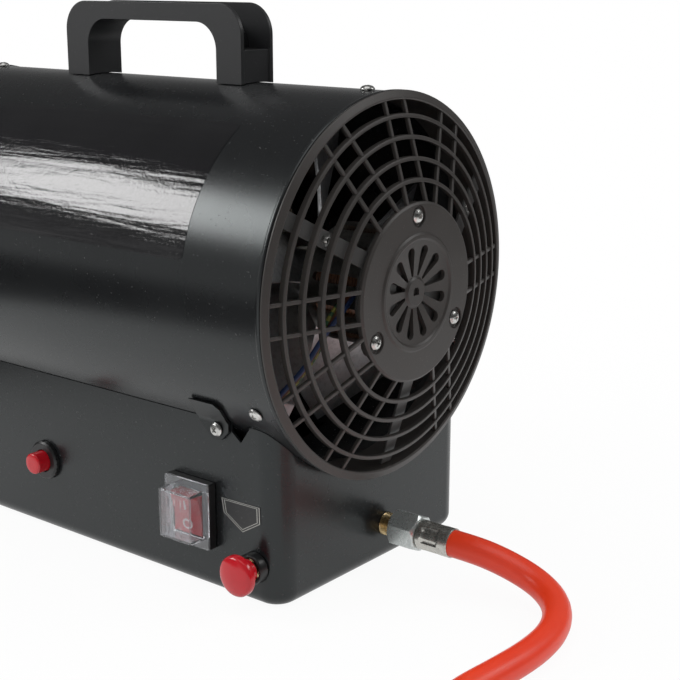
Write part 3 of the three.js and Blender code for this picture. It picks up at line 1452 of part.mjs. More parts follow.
TIE_STEPS.forEach((step, i) => add(`coil_tie_${i + 1}`, coilTie(step), ...DARK_PLASTIC));

export default group;
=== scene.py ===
"""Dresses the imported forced-air heater in its looks and sets a plain pale studio around it."""

import math

import bmesh
import bpy
from bpy.props import FloatProperty, FloatVectorProperty, IntProperty, PointerProperty
from mathutils import Matrix, Vector


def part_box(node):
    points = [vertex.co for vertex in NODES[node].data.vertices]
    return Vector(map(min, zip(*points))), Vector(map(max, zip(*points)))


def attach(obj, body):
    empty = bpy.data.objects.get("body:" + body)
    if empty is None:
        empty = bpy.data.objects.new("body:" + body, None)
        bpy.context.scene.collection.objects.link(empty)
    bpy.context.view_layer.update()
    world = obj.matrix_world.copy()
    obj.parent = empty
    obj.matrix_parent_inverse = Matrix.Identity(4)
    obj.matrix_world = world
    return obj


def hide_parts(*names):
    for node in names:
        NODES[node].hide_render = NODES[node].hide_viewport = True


bl_info = {
    "name": "Forced air heater",
    "version": (1, 0, 0),
    "blender": (4, 5, 0),
    "location": "View3D > Sidebar > Heater",
    "description": "Builds the visible pieces of a gas-fired forced-air heater around its packed frame",
    "category": "Object",
}

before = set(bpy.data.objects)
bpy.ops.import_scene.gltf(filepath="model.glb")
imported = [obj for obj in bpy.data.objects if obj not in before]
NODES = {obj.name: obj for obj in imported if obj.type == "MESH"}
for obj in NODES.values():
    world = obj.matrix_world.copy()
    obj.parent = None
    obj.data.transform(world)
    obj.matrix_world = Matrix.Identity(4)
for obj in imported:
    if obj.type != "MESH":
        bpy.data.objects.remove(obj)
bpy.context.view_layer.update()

MM = 0.001
TURN = 2 * math.pi

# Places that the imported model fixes, in millimetres
AXIS_Z = 159.5
DRUM_FRONT = -179.4
DRUM_REAR = 149.6
DRUM_RADIUS = 102.0
DRUM_INSIDE = 100.8
ON_DRUM = DRUM_RADIUS + 0.3
SIDE_Y = 81.0
BASE_HALF = 141.2
BASE_TOP = 98.11
SKIRT_OUTER = 100.5
RIM_INNER = 98.1
RIM_BACK = 149.9
RIM_FRONT = 151.0
RIM_LIP = 152.4
HUB_RADIUS = 47.4
HUB_FRONT = 167.61
HUB_WALL = 2.6
HUB_SCREW_CIRCLE = 40
SCREW_ANGLES = (90, 210, 330)
SWITCH_AT = (81.5, -78.8, 43.6)
BEZEL_FRONT = -86.2
VALVE_AT = (125.0, 22.0)
IGNITER_AT = (-40.0, 44.0)
GLAND_AT = (60.0, 40.0)
HANDLE_MIDDLE = -13.5
HANDLE_SCREWS = (-75.05, 48.05)
INLET_AT = (9.0, 21.9)
HOSE_RADIUS = 7.5
HOSE_ROUTE = (
    (182.6, 9, 21.9),
    (190.2, 9, 21.9),
    (197.9, 9, 21.9),
    (209, 10, 20.8),
    (221, 11.8, 17.8),
    (233, 12.5, 14.3),
    (244, 9.5, 11.8),
    (253, 3.8, 9.8),
    (260.5, -5, 8.5),
    (266.5, -17.5, 7.8),
    (270, -31.5, 7.6),
    (271.3, -46, 7.6),
    (271, -62, 7.6),
    (269, -83, 7.6),
    (267.5, -96, 7.6),
    (267.6, -110.1, 7.6),
    (271.6, -125.7, 7.6),
    (279.1, -139.9, 7.6),
    (289.9, -151.8, 7.7),
    (303.3, -160.8, 7.9),
    (318.4, -166.3, 8.1),
    (336, -167.9, 8.4),
    (360, -167.9, 8.8),
    (384, -167.9, 9.2),
    (406, -167.9, 9.4),
)
COIL_CENTRE = (442.0, -79.9)
COIL_START = 0.75
COIL_OUTER = 88.0
COIL_SIDEWAYS = 15.8
COIL_BOTTOM = 9.4
COIL_RISE = 17.4
COIL_TURNS = 2.0
COIL_REVERSES = 1.5

# The camera solved from the picture: degrees round from the control side, degrees up, place in metres
CAMERA_AZIMUTH = 38.975
CAMERA_ELEVATION = 14.789
CAMERA_AT = (0.5798, -0.5740, 0.3204)


# ---------------------------------------------------------------- sizes and colours a user may change


def colour_property(name, description, default):
    return FloatVectorProperty(name=name, description=description, default=default, subtype="COLOR", size=3)


def length_property(name, description, default):
    """A length whose default is given in millimetres."""
    return FloatProperty(name=name, description=description, default=default * MM, unit="LENGTH")


def count_property(name, description, default):
    return IntProperty(name=name, description=description, default=default, min=3)


def light_property(name, description, default):
    return FloatProperty(name=name, description=description, default=default, subtype="POWER")


class HeaterStudio(bpy.types.PropertyGroup):
    """Camera and light."""

    lens: FloatProperty(name="Lens", description="Focal length of the camera", default=73.86, unit="CAMERA")
    key_power: light_property("Key light", "Power of the softbox", 12.5)
    top_power: light_property("Top light", "Power of the overhead light", 9)
    room: FloatProperty(name="Room light", description="Light that comes evenly from the room", default=0.72)


class HeaterDrum(bpy.types.PropertyGroup):
    """Drum and label."""

    paint: colour_property("Paint", "Colour of the powder paint on drum and base", (0.0068, 0.0071, 0.0078))
    bead: length_property("Bead", "Length of the rolled bead at each end", 3.2)
    label_length: length_property("Label length", "Length of the bare vinyl label along the drum", 190)


class HeaterPlastic(bpy.types.PropertyGroup):
    """Moulded plastic."""

    grille: colour_property("Grille plastic", "Colour of the intake grille", (0.028, 0.0248, 0.0228))
    handle: colour_property("Handle plastic", "Colour of the carrying handle", (0.013, 0.0135, 0.0145))
    red: colour_property("Red plastic", "Colour of the push buttons and the rocker", (0.50, 0.008, 0.016))
    edge: length_property("Edge radius", "Rounding of moulded edges", 0.7)


class HeaterGasLine(bpy.types.PropertyGroup):
    """Gas hose and fittings."""

    hose: colour_property("Hose colour", "Colour of the rubber hose", (0.70, 0.030, 0.007))
    crimps: count_property("Crimps", "Lengthwise grooves pressed into a ferrule", 8)
    crimp_depth: length_property("Crimp depth", "Depth of a groove in a ferrule", 0.75)


class HeaterFan(bpy.types.PropertyGroup):
    """Motor and wires."""

    wire: length_property("Wire thickness", "Diameter of a motor wire with its insulation", 2.6)
    slots: count_property("Motor slots", "Air slots round the motor's can", 12)


# ---------------------------------------------------------------- shapes, in millimetres


def bend_corners(points, closed=True, steps=5):
    """Corners given as (a, b, radius) become arcs; (a, b) stays sharp."""
    out = []
    count = len(points)
    nearly_straight = math.radians(89)
    for i, corner in enumerate(points):
        here = Vector(corner[:2])
        radius = corner[2] if len(corner) > 2 else 0
        if radius <= 0 or (not closed and i in (0, count - 1)):
            out.append(tuple(here))
            continue
        before = Vector(points[i - 1][:2]) - here
        after = Vector(points[(i + 1) % count][:2]) - here
        one, two = before.normalized(), after.normalized()
        half = math.acos(max(-1, min(1, one.dot(two)))) / 2
        if half > nearly_straight:
            out.append(tuple(here))
            continue
        reach = min(radius / math.tan(half), 0.499 * before.length, 0.499 * after.length)
        radius = reach * math.tan(half)
        middle = here + (one + two).normalized() * (radius / math.sin(half))
        start = here + one * reach - middle
        end = here + two * reach - middle
        sweep = math.atan2(start.x * end.y - start.y * end.x, start.dot(end))
        for k in range(steps + 1):
            angle = sweep * k / steps
            c, s = math.cos(angle), math.sin(angle)
            out.append((middle.x + start.x * c - start.y * s, middle.y + start.x * s + start.y * c))
    return out


def lathe(profile, segments=96):
    """A profile of (along, radius) points turned about the X axis."""
    verts, rings, faces = [], [], []
    for along, radius in profile:
        start = len(verts)
        if radius < 1e-6:
            verts.append((along, 0.0, 0.0))
            rings.append([start])
            continue
        for k in range(segments):
            angle = TURN * k / segments
            verts.append((along, radius * math.cos(angle), radius * math.sin(angle)))
        rings.append(list(range(start, start + segments)))
    pairs = list(zip(rings, rings[1:]))
    if len(rings[0]) > 1 or len(rings[-1]) > 1:
        pairs.append((rings[-1], rings[0]))
    for one, two in pairs:
        if len(one) == len(two) == 1:
            continue
        for k in range(segments):
            corners = [one[k % len(one)], one[(k + 1) % len(one)], two[(k + 1) % len(two)], two[k % len(two)]]
            faces.append(list(dict.fromkeys(corners)))
    return verts, faces


def skin(sections):
    """Closed sections with the same number of points, joined one to the next and capped."""
    verts, faces = [], []
    count = len(sections[0])
    for section in sections:
        verts.extend(tuple(p) for p in section)
    for s in range(len(sections) - 1):
        for k in range(count):
            a, b = s * count + k, s * count + (k + 1) % count
            faces.append([a, b, b + count, a + count])
    faces.append(list(range(count))[::-1])
    faces.append([len(verts) - count + k for k in range(count)])
    return verts, faces


PLANES = {
    "XZ": lambda a, b, depth: (a, depth, b),
    "YZ": lambda a, b, depth: (depth, a, b),
    "XY": lambda a, b, depth: (a, b, depth),
}


def prism(outline, plane, low, high):
    """A flat outline given a thickness along the plane's normal."""
    put = PLANES[plane]
    return skin([[put(a, b, low) for a, b in outline], [put(a, b, high) for a, b in outline]])


def block(low, high):
    """A box between two opposite corners."""
    outline = [(low[0], low[1]), (high[0], low[1]), (high[0], high[1]), (low[0], high[1])]
    return prism(outline, "XY", low[2], high[2])


def tube(points, radius, sides=12):
    """A round rod along a line of points."""
    points = [Vector(p) for p in points]
    side = (points[1] - points[0]).orthogonal().normalized()
    sections = []
    for i, point in enumerate(points):
        tangent = (points[min(i + 1, len(points) - 1)] - points[max(i - 1, 0)]).normalized()
        side = (side - tangent * side.dot(tangent)).normalized()
        other = tangent.cross(side)
        sections.append([point + side * a + other * b for a, b in circle(sides, radius)])
    return skin(sections)


def spline(points, steps=8):
    """Points on a smooth line through the given ones."""
    points = [Vector(p) for p in points]
    out = []
    for i in range(len(points) - 1):
        p0, p1 = points[max(i - 1, 0)], points[i]
        p2, p3 = points[i + 1], points[min(i + 2, len(points) - 1)]
        for k in range(steps):
            t = k / steps
            out.append(
                0.5
                * (
                    2 * p1
                    + (p2 - p0) * t
                    + (2 * p0 - 5 * p1 + 4 * p2 - p3) * t * t
                    + (3 * p1 - p0 - 3 * p2 + p3) * t ** 3
                )
            )
    out.append(points[-1])
    return out


def together(*shapes):
    """Several shapes as one."""
    verts, faces = [], []
    for more, corners in shapes:
        start = len(verts)
        verts.extend(more)
        faces.extend([[start + k for k in face] for face in corners])
    return verts, faces


def moved(shape, matrix):
    return [tuple(matrix @ Vector(v)) for v in shape[0]], shape[1]


def shifted(shape, x=0, y=0, z=0):
    return moved(shape, Matrix.Translation((x, y, z)))


def facing(shape, seat, out):
    """A shape built about the X axis, set on a seat and turned so that X points outward."""
    turn = Vector((1, 0, 0)).rotation_difference(Vector(out)).to_matrix().to_4x4()
    return moved(shape, Matrix.Translation(seat) @ turn)


def about_drum(profile, segments=192):
    return shifted(lathe(profile, segments), z=AXIS_Z)


def round_axis(shape, degrees):
    """A shape made about the X axis, turned about it and brought to the drum's axis."""
    return shifted(moved(shape, Matrix.Rotation(math.radians(degrees), 4, "X")), z=AXIS_Z)


def around(x, radius, degrees):
    """A point on the circle of a radius about the drum's axis."""
    angle = math.radians(degrees)
    return (x, radius * math.cos(angle), AXIS_Z + radius * math.sin(angle))


def circle(count, radius, turn=0):
    """Points (a, b) evenly round a circle, the first one turned that many degrees."""
    angles = [TURN * k / count + math.radians(turn) for k in range(count)]
    return [(radius * math.cos(angle), radius * math.sin(angle)) for angle in angles]


def oblong(low, high, corner, steps):
    """A rectangle between two opposite points, with round corners."""
    points = (low, (high[0], low[1]), high, (low[0], high[1]))
    return bend_corners([(*point, corner) for point in points], steps=steps)


def cylinder(low, high, radius, segments=48):
    """A round bar along the X axis."""
    return lathe([(low, 0), (low, radius), (high, radius), (high, 0)], segments)


def turned(profile, segments, steps=4):
    """A profile that starts and ends on the X axis, its corners rounded, turned about that axis."""
    return lathe(bend_corners(profile, closed=False, steps=steps), segments)


# ---------------------------------------------------------------- pieces


def build(name, shape):
    """An object made of closed shells, with its faces turned outward, in metres."""
    mesh = bpy.data.meshes.new(name)
    mesh.from_pydata([[c * MM for c in v] for v in shape[0]], [], shape[1])
    work = bmesh.new()
    work.from_mesh(mesh)
    bmesh.ops.recalc_face_normals(work, faces=work.faces)
    work.to_mesh(mesh)
    work.free()
    piece = bpy.data.objects.new(name, mesh)
    bpy.context.scene.collection.objects.link(piece)
    return piece


def from_node(name, node):
    """A new piece with a CAD node's form, its corners welded and its flat faces whole."""
    mesh = NODES[node].data.copy()
    work = bmesh.new()
    work.from_mesh(mesh)
    bmesh.ops.remove_doubles(work, verts=work.verts, dist=1e-6)
    bmesh.ops.dissolve_limit(
        work, angle_limit=math.radians(1), use_dissolve_boundaries=False, verts=work.verts, edges=work.edges
    )
    work.to_mesh(mesh)
    work.free()
    mesh.materials.clear()
    piece = bpy.data.objects.new(name, mesh)
    bpy.context.scene.collection.objects.link(piece)
    return piece


def settle(piece):
    """Puts a piece's modifiers into its mesh."""
    graph = bpy.context.evaluated_depsgraph_get()
    mesh = bpy.data.meshes.new_from_object(piece.evaluated_get(graph))
    piece.modifiers.clear()
    piece.data = mesh


def carve(piece, shape, operation="DIFFERENCE"):
    """Cuts a shape out of a piece, or joins it on."""
    tool = build("carving", shape)
    modifier = piece.modifiers.new("carve", "BOOLEAN")
    modifier.operation = operation
    modifier.solver = "MANIFOLD"
    modifier.object = tool
    settle(piece)
    bpy.data.objects.remove(tool)
    if not piece.data.polygons:
        raise RuntimeError(f"{piece.name}: nothing is left after carving")


def taken(piece):
    """A helper piece's shape in millimetres, with the helper removed."""
    shape = ([tuple(v.co / MM) for v in piece.data.vertices], [list(p.vertices) for p in piece.data.polygons])
    bpy.data.objects.remove(piece)
    return shape


def round_edges(piece, radius, segments=3, angle=40):
    """Rounds the sharp edges; radius in millimetres."""
    modifier = piece.modifiers.new("edges", "BEVEL")
    modifier.width = radius * MM
    modifier.segments = segments
    modifier.limit_method = "ANGLE"
    modifier.angle_limit = math.radians(angle)
    modifier.use_clamp_overlap = True
    modifier.harden_normals = False
    settle(piece)


def dress(piece, finish, body="heater", stands_for=(), crease=35):
    """Gives a piece its finish and the body that it rides on."""
    piece.data.materials.clear()
    for one in finish if isinstance(finish, tuple) else (finish,):
        piece.data.materials.append(one)
    piece.data.shade_smooth()
    piece.data.set_sharp_from_angle(angle=math.radians(crease))
    modifier = piece.modifiers.new("flat faces", "WEIGHTED_NORMAL")
    modifier.keep_sharp = True
    modifier.weight = 80
    settle(piece)
    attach(piece, body)
    if stands_for:
        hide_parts(*stands_for)
    return piece


def refined(name, node, finish, body="heater", edge=0, segments=2, angle=50, crease=35):
    """A piece with the form of its CAD node, its edges rounded where edge is given."""
    piece = from_node(name, node)
    if edge:
        round_edges(piece, edge, segments, angle)
    return dress(piece, FINISHES[finish], body, (node,), crease)


# ---------------------------------------------------------------- finishes


class Wire:
    """A shader socket that takes part in Python arithmetic."""

    def __init__(self, tree, socket):
        self.tree = tree
        self.socket = socket

    def maths(self, operation, *values):
        return self.tree.add("ShaderNodeMath", {"operation": operation}, dict(enumerate(values)))

    def __add__(self, other):
        return self.maths("ADD", self, other)

    def __radd__(self, other):
        return self.maths("ADD", other, self)

    def __sub__(self, other):
        return self.maths("SUBTRACT", self, other)

    def __rsub__(self, other):
        return self.maths("SUBTRACT", other, self)

    def __mul__(self, other):
        return self.maths("MULTIPLY", self, other)

    def __rmul__(self, other):
        return self.maths("MULTIPLY", other, self)

    def __pow__(self, other):
        return self.maths("POWER", self, other)

    def most(self, other):
        return self.maths("MAXIMUM", self, other)

    def least(self, other):
        return self.maths("MINIMUM", self, other)

    def wave(self):
        return self.maths("SINE", self)

    def between(self, low, high):
        """0 below low, 1 above high and smooth between them."""
        return self.tree.add(
            "ShaderNodeMapRange",
            {"interpolation_type": "SMOOTHSTEP"},
            {"Value": self, "From Min": low, "From Max": high},
        )


class Tree:
    """The nodes of one material or of the world."""

    def __init__(self, owner):
        owner.use_nodes = True
        self.nodes = owner.node_tree.nodes
        self.links = owner.node_tree.links
        self.nodes.clear()

    def add(self, kind, settings=None, inputs=None, output=0):
        """The one way to a node: its settings first, then the values or links of its sockets."""
        node = self.nodes.new(kind)
        for key, value in (settings or {}).items():
            if key == "stops":
                stops = node.color_ramp.elements
                while len(stops) > 1:
                    stops.remove(stops[-1])
                stops[0].position, stops[0].color = value[0][0], (*value[0][1], 1)
                for place, colour in value[1:]:
                    stops.new(place).color = (*colour, 1)
            else:
                setattr(node, key, value)
        for key, value in (inputs or {}).items():
            self.feed(node.inputs[key], value)
        return Wire(self, node.outputs[output]) if len(node.outputs) else node

    def feed(self, socket, value):
        if isinstance(value, Wire):
            self.links.new(value.socket, socket)
        elif socket.type == "RGBA" and len(value) == 3:
            socket.default_value = (*value, 1)
        else:
            socket.default_value = value

    def place(self):
        """Where a point lies on its piece, in metres."""
        return self.add("ShaderNodeTexCoord", output=3)

    def axes(self):
        place = self.place()
        return [self.add("ShaderNodeSeparateXYZ", {}, {0: place}, output=k) for k in range(3)]

    def rays(self):
        """1 for the camera's rays, for reflected ones and for those through clear plastic."""
        return [self.add("ShaderNodeLightPath", output=k) for k in (0, 3, 6)]

    def stretched(self, x=1.0, y=1.0, z=1.0):
        return self.add("ShaderNodeMapping", {}, {"Vector": self.place(), "Scale": (x, y, z)})

    def noise(self, grain, detail=2.0, roughness=0.5, place=None, distortion=0.0):
        """Smooth noise whose patches are about grain millimetres across."""
        return self.add(
            "ShaderNodeTexNoise",
            {},
            {
                "Vector": place or self.place(),
                "Scale": 1 / (grain * MM),
                "Detail": detail,
                "Roughness": roughness,
                "Distortion": distortion,
            },
        )

    def cells(self, grain):
        return self.add("ShaderNodeTexVoronoi", {}, {"Vector": self.place(), "Scale": 1 / (grain * MM)})

    def mix(self, share, one, two):
        return self.add("ShaderNodeMix", {"data_type": "RGBA"}, {0: share, 6: one, 7: two}, output=2)

    def bump(self, height, depth, strength=1.0, over=None):
        """Relief whose height of 0 to 1 is depth millimetres."""
        inputs = {"Height": height, "Distance": depth * MM, "Strength": strength}
        if over:
            inputs["Normal"] = over
        return self.add("ShaderNodeBump", {}, inputs)


class Finish(Tree):
    """A material made on one Principled shader."""

    def __init__(self, name, **fixed):
        self.material = bpy.data.materials.new(name)
        super().__init__(self.material)
        self.shader = self.nodes.new("ShaderNodeBsdfPrincipled")
        output = self.nodes.new("ShaderNodeOutputMaterial")
        self.links.new(self.shader.outputs[0], output.inputs[0])
        for key, value in fixed.items():
            self.feed(self.shader.inputs[key.replace("_", " ")], value)

    def looks(self, base, roughness, normal=None):
        """Links what varies over a piece and hands over the material."""
        self.feed(self.shader.inputs["Base Color"], base)
        self.feed(self.shader.inputs["Roughness"], roughness)
        if normal:
            self.feed(self.shader.inputs["Normal"], normal)
        return self.material


def toned(colour, factor, lift=0.0):
    """A lighter or darker form of a colour."""
    return tuple(c * factor + lift for c in colour)


def powder_paint(name, colour, roughness=0.27):
    """Satin powder paint: orange peel, a few dust nibs and faint handling marks."""
    # Painted light colour: the faint cyan Specular Tint stands in for cool-tinted lamps in the paint's
    # reflections.
    m = Finish(name, Specular_IOR_Level=0.5, Specular_Tint=(0.93, 1.0, 1.0))
    peel = m.noise(1.6, 2, 0.55)
    fine = m.noise(0.45, 1)
    cloud = m.noise(38, 3, 0.6)
    dust = m.noise(1.1, 0).between(0.80, 0.86)
    scuff = m.noise(9, 4, 0.7, m.stretched(0.25, 1, 1)).between(0.66, 0.82)
    lighter = toned(colour, 1.9, 0.002)
    base = m.mix(cloud * 0.35 + scuff * 0.25, colour, lighter)
    return m.looks(
        m.mix(dust * 0.5, base, (0.10, 0.10, 0.10)),
        roughness + (cloud - 0.5) * 0.07 + scuff * 0.06 + dust * 0.2,
        m.bump(fine, 0.012, 0.35, m.bump(peel, 0.035, 0.5)),
    )


def grained_plastic(name, colour, roughness=0.42, grain=0.55, depth=0.03, shine=0.5):
    """Moulded plastic with a fine spark-eroded grain, rubbed smoother here and there."""
    m = Finish(name, Specular_IOR_Level=shine)
    cell = m.cells(grain)
    cloud = m.noise(26, 3, 0.6)
    speck = m.noise(0.8, 0).between(0.76, 0.86)
    lighter = toned(colour, 1.7, 0.003)
    return m.looks(
        m.mix(speck * 0.4, m.mix(cloud * 0.5, colour, lighter), (0.12, 0.115, 0.11)),
        roughness + (cloud - 0.5) * 0.16 + cell * 0.08,
        m.bump(cell, depth, 0.6),
    )


def gloss_plastic(name, colour, roughness=0.2, coat=0.12):
    """Smooth glossy plastic with light rub marks."""
    m = Finish(name, Specular_IOR_Level=0.5, Coat_Weight=coat, Coat_Roughness=0.08)
    cloud = m.noise(9, 3, 0.6)
    rub = m.noise(2.5, 5, 0.75, m.stretched(1, 1, 0.3)).between(0.58, 0.8)
    darker = toned(colour, 0.72)
    return m.looks(
        m.mix(cloud * 0.6, colour, darker),
        roughness + rub * 0.16 + (cloud - 0.5) * 0.05,
        m.bump(m.noise(1.4, 2), 0.01, 0.4),
    )


def plated_metal(name, colour, roughness=0.24, dark=0.35, brushed=(1.0, 1.0, 1.0), metallic=1.0):
    """Plated or turned metal with stains and fine marks."""
    m = Finish(name, Metallic=metallic)
    stain = m.noise(3.2, 4, 0.65).between(0.42, 0.72)
    line = m.noise(0.5, 2, 0.6, m.stretched(*brushed))
    darker = toned(colour, 1 - dark)
    return m.looks(
        m.mix(stain * 0.8, colour, darker),
        roughness + stain * 0.14 + (line - 0.5) * 0.16,
        m.bump(line, 0.008, 0.4),
    )


def heated_steel(name, tint):
    """Steel sheet coloured by heat: straw and blue bands that fade along the drum."""
    m = Finish(name, Metallic=1.0)
    x, _, _ = m.axes()
    drift = m.noise(30, 4, 0.6)
    along = (x * 5.2 + 0.95 + (drift - 0.5) * 0.7).between(0.0, 1.0)
    colours = m.add(
        "ShaderNodeValToRGB",
        {
            "stops": [
                (0.0, (0.09, 0.085, 0.09)),
                (0.22, (0.14, 0.16, 0.25)),
                (0.42, (0.30, 0.18, 0.13)),
                (0.62, (0.46, 0.34, 0.19)),
                (1.0, tint),
            ]
        },
        {0: along},
    )
    soot = m.noise(11, 5, 0.7).between(0.52, 0.74)
    return m.looks(
        m.mix(soot * 0.55, colours, (0.03, 0.028, 0.026)),
        0.34 + soot * 0.3,
        m.bump(m.noise(0.6, 3, 0.6, m.stretched(0.15, 1, 1)), 0.012, 0.5),
    )


def hose_rubber(name, colour):
    """Soft red hose cover: pulled lengthwise, slightly waxy, with dusty patches."""
    m = Finish(name, Specular_IOR_Level=0.5, Coat_Weight=0.05, Coat_Roughness=0.3)
    cloud = m.noise(22, 3, 0.6)
    dust = m.noise(5, 5, 0.75).between(0.6, 0.82)
    warmer = (colour[0] * 1.14, colour[1] * 1.75, colour[2] * 1.6)
    return m.looks(
        m.mix(dust * 0.35, m.mix(cloud, colour, warmer), (0.62, 0.24, 0.19)),
        0.36 + (cloud - 0.5) * 0.14 + dust * 0.2,
        m.bump(m.noise(2.6, 2), 0.03, 0.4, m.bump(m.noise(0.5, 2), 0.012, 0.4)),
    )


def vinyl_label(name):
    """Bare black vinyl, gloss, with the fine crinkle that glue leaves under it."""
    m = Finish(name, Specular_IOR_Level=0.62)
    ridge = m.noise(9, 2, 0.5, m.stretched(0.1, 1.5, 1.5), 0.2)
    crinkle = m.noise(6.5, 4, 0.62, m.stretched(1, 1.5, 1.5), 0.6)
    pimple = m.noise(1.5, 3, 0.7, None, 0.5)
    cloud = m.noise(40, 2)
    return m.looks(
        m.mix(cloud, (0.005, 0.005, 0.006), (0.011, 0.011, 0.012)),
        0.07 + crinkle * 0.08,
        m.bump(pimple, 0.075, 1.0, m.bump(crinkle, 0.13, 1.0, m.bump(ridge, 0.5, 1.0))),
    )


def clear_plastic(name):
    """Clear moulded plastic with a faint grey haze and rub marks."""
    m = Finish(name, Transmission_Weight=0.94, IOR=1.49, Specular_IOR_Level=0.5)
    haze = m.noise(7, 4, 0.65)
    rub = m.noise(1.2, 5, 0.75, m.stretched(1, 1, 0.35)).between(0.6, 0.78)
    return m.looks(
        m.mix(haze * 0.6, (0.93, 0.94, 0.96), (0.82, 0.84, 0.88)),
        0.045 + rub * 0.15 + haze * 0.04,
        m.bump(haze, 0.02, 0.3),
    )


def glazed_ceramic(name):
    """Cream glaze with a few dark specks."""
    m = Finish(name, Coat_Weight=0.7, Coat_Roughness=0.06)
    cloud = m.noise(3.5, 3)
    speck = m.noise(0.6, 1).between(0.72, 0.8)
    return m.looks(
        m.mix(speck * 0.6, m.mix(cloud, (0.80, 0.77, 0.70), (0.68, 0.64, 0.56)), (0.2, 0.16, 0.12)),
        0.22 + cloud * 0.16,
        m.bump(cloud, 0.02, 0.3),
    )


def wire_cover(name, colour, stripe=None):
    """Insulation; a striped one has two colours that run along it."""
    m = Finish(name, Specular_IOR_Level=0.5)
    cloud = m.noise(4, 3)
    shade = m.mix(cloud * 0.5, colour, toned(colour, 0.6))
    if stripe:
        _, y, z = m.axes()
        band = (y * 900 + z * 700).wave().between(0.1, 0.25)
        shade = m.mix(band, shade, stripe)
    return m.looks(shade, 0.4 + cloud * 0.14)


def copper_winding(name):
    """Varnished copper strands that lie along the motor."""
    m = Finish(name, Metallic=0.9, Coat_Weight=0.4, Coat_Roughness=0.15)
    strand = m.noise(0.7, 2, 0.6, m.stretched(0.2, 1, 1))
    return m.looks(
        m.mix(strand, (0.16, 0.07, 0.035), (0.07, 0.03, 0.015)),
        0.3 + strand * 0.25,
        m.bump(strand, 0.1, 0.8),
    )


def printed_line(name, colour):
    """A pale printed outline with worn ink."""
    m = Finish(name, Specular_IOR_Level=0.5)
    wear = m.noise(0.9, 4, 0.7).between(0.5, 0.8)
    return m.looks(m.mix(wear * 0.5, colour, toned(colour, 0.45)), 0.4 + wear * 0.2)


def make_finishes(scene):
    drum, plastic, gas = scene.heater_drum, scene.heater_plastic, scene.heater_gas_line
    return {
        "paint": powder_paint("powder_paint", tuple(drum.paint)),
        "bracket": powder_paint("bracket_paint", (0.045, 0.0435, 0.0425), 0.42),
        "lug": powder_paint("lug_paint", toned(drum.paint, 0.8), 0.34),
        "grille": grained_plastic("grille_plastic", tuple(plastic.grille), 0.40),
        "handle": grained_plastic("handle_plastic", tuple(plastic.handle), 0.36, 0.6),
        # Painted shade: the handle's channel takes the handle plastic at half its colour, standing in for the
        # shade inside the trough.
        "channel": grained_plastic("channel_painted_shade", toned(plastic.handle, 0.5), 0.6, 0.6, shine=0.12),
        "black": grained_plastic("black_plastic", (0.008, 0.008, 0.0085), 0.3, 0.5, 0.015),
        "red": gloss_plastic("red_button", tuple(plastic.red)),
        "rocker": gloss_plastic("red_rocker", toned(plastic.red, 0.92), 0.26, 0.15),
        "clear": clear_plastic("clear_cover"),
        "zinc": plated_metal("zinc_plate", (0.66, 0.66, 0.64), 0.26),
        "nut": plated_metal("nickel_plate", (0.66, 0.70, 0.69), 0.27, 0.12, metallic=0.8),
        "ferrule": plated_metal("pressed_ferrule", (0.60, 0.59, 0.55), 0.22, 0.25, (0.2, 1, 1), metallic=0.9),
        "brass": plated_metal("turned_brass", (0.78, 0.60, 0.33), 0.22, 0.35, (1, 0.3, 0.3)),
        "motor": plated_metal("motor_can", (0.52, 0.51, 0.48), 0.3, 0.35, (1, 0.25, 0.25)),
        "aluminium": plated_metal("mill_aluminium", (0.66, 0.67, 0.68), 0.34, 0.3, (1, 0.4, 0.4)),
        "heated": heated_steel("heat_tinted_steel", (0.52, 0.50, 0.46)),
        "hose": hose_rubber("red_hose", tuple(gas.hose)),
        "vinyl": vinyl_label("bare_vinyl"),
        "ceramic": glazed_ceramic("glazed_ceramic"),
        "copper": copper_winding("copper_winding"),
        "blue_wire": wire_cover("blue_insulation", (0.012, 0.03, 0.10)),
        "brown_wire": wire_cover("brown_insulation", (0.10, 0.035, 0.014)),
        "earth_wire": wire_cover("earth_insulation", (0.22, 0.21, 0.04), (0.02, 0.08, 0.03)),
        "print": printed_line("printed_outline", (0.42, 0.42, 0.39)),
        "mark": printed_line("switch_mark", (0.80, 0.72, 0.72)),
    }


FINISHES = {}


# ---------------------------------------------------------------- stage


def direction(azimuth, elevation):
    """The unit vector that many degrees round from the control side and up."""
    a, e = math.radians(azimuth), math.radians(elevation)
    return Vector((math.sin(a) * math.cos(e), -math.cos(a) * math.cos(e), math.sin(e)))


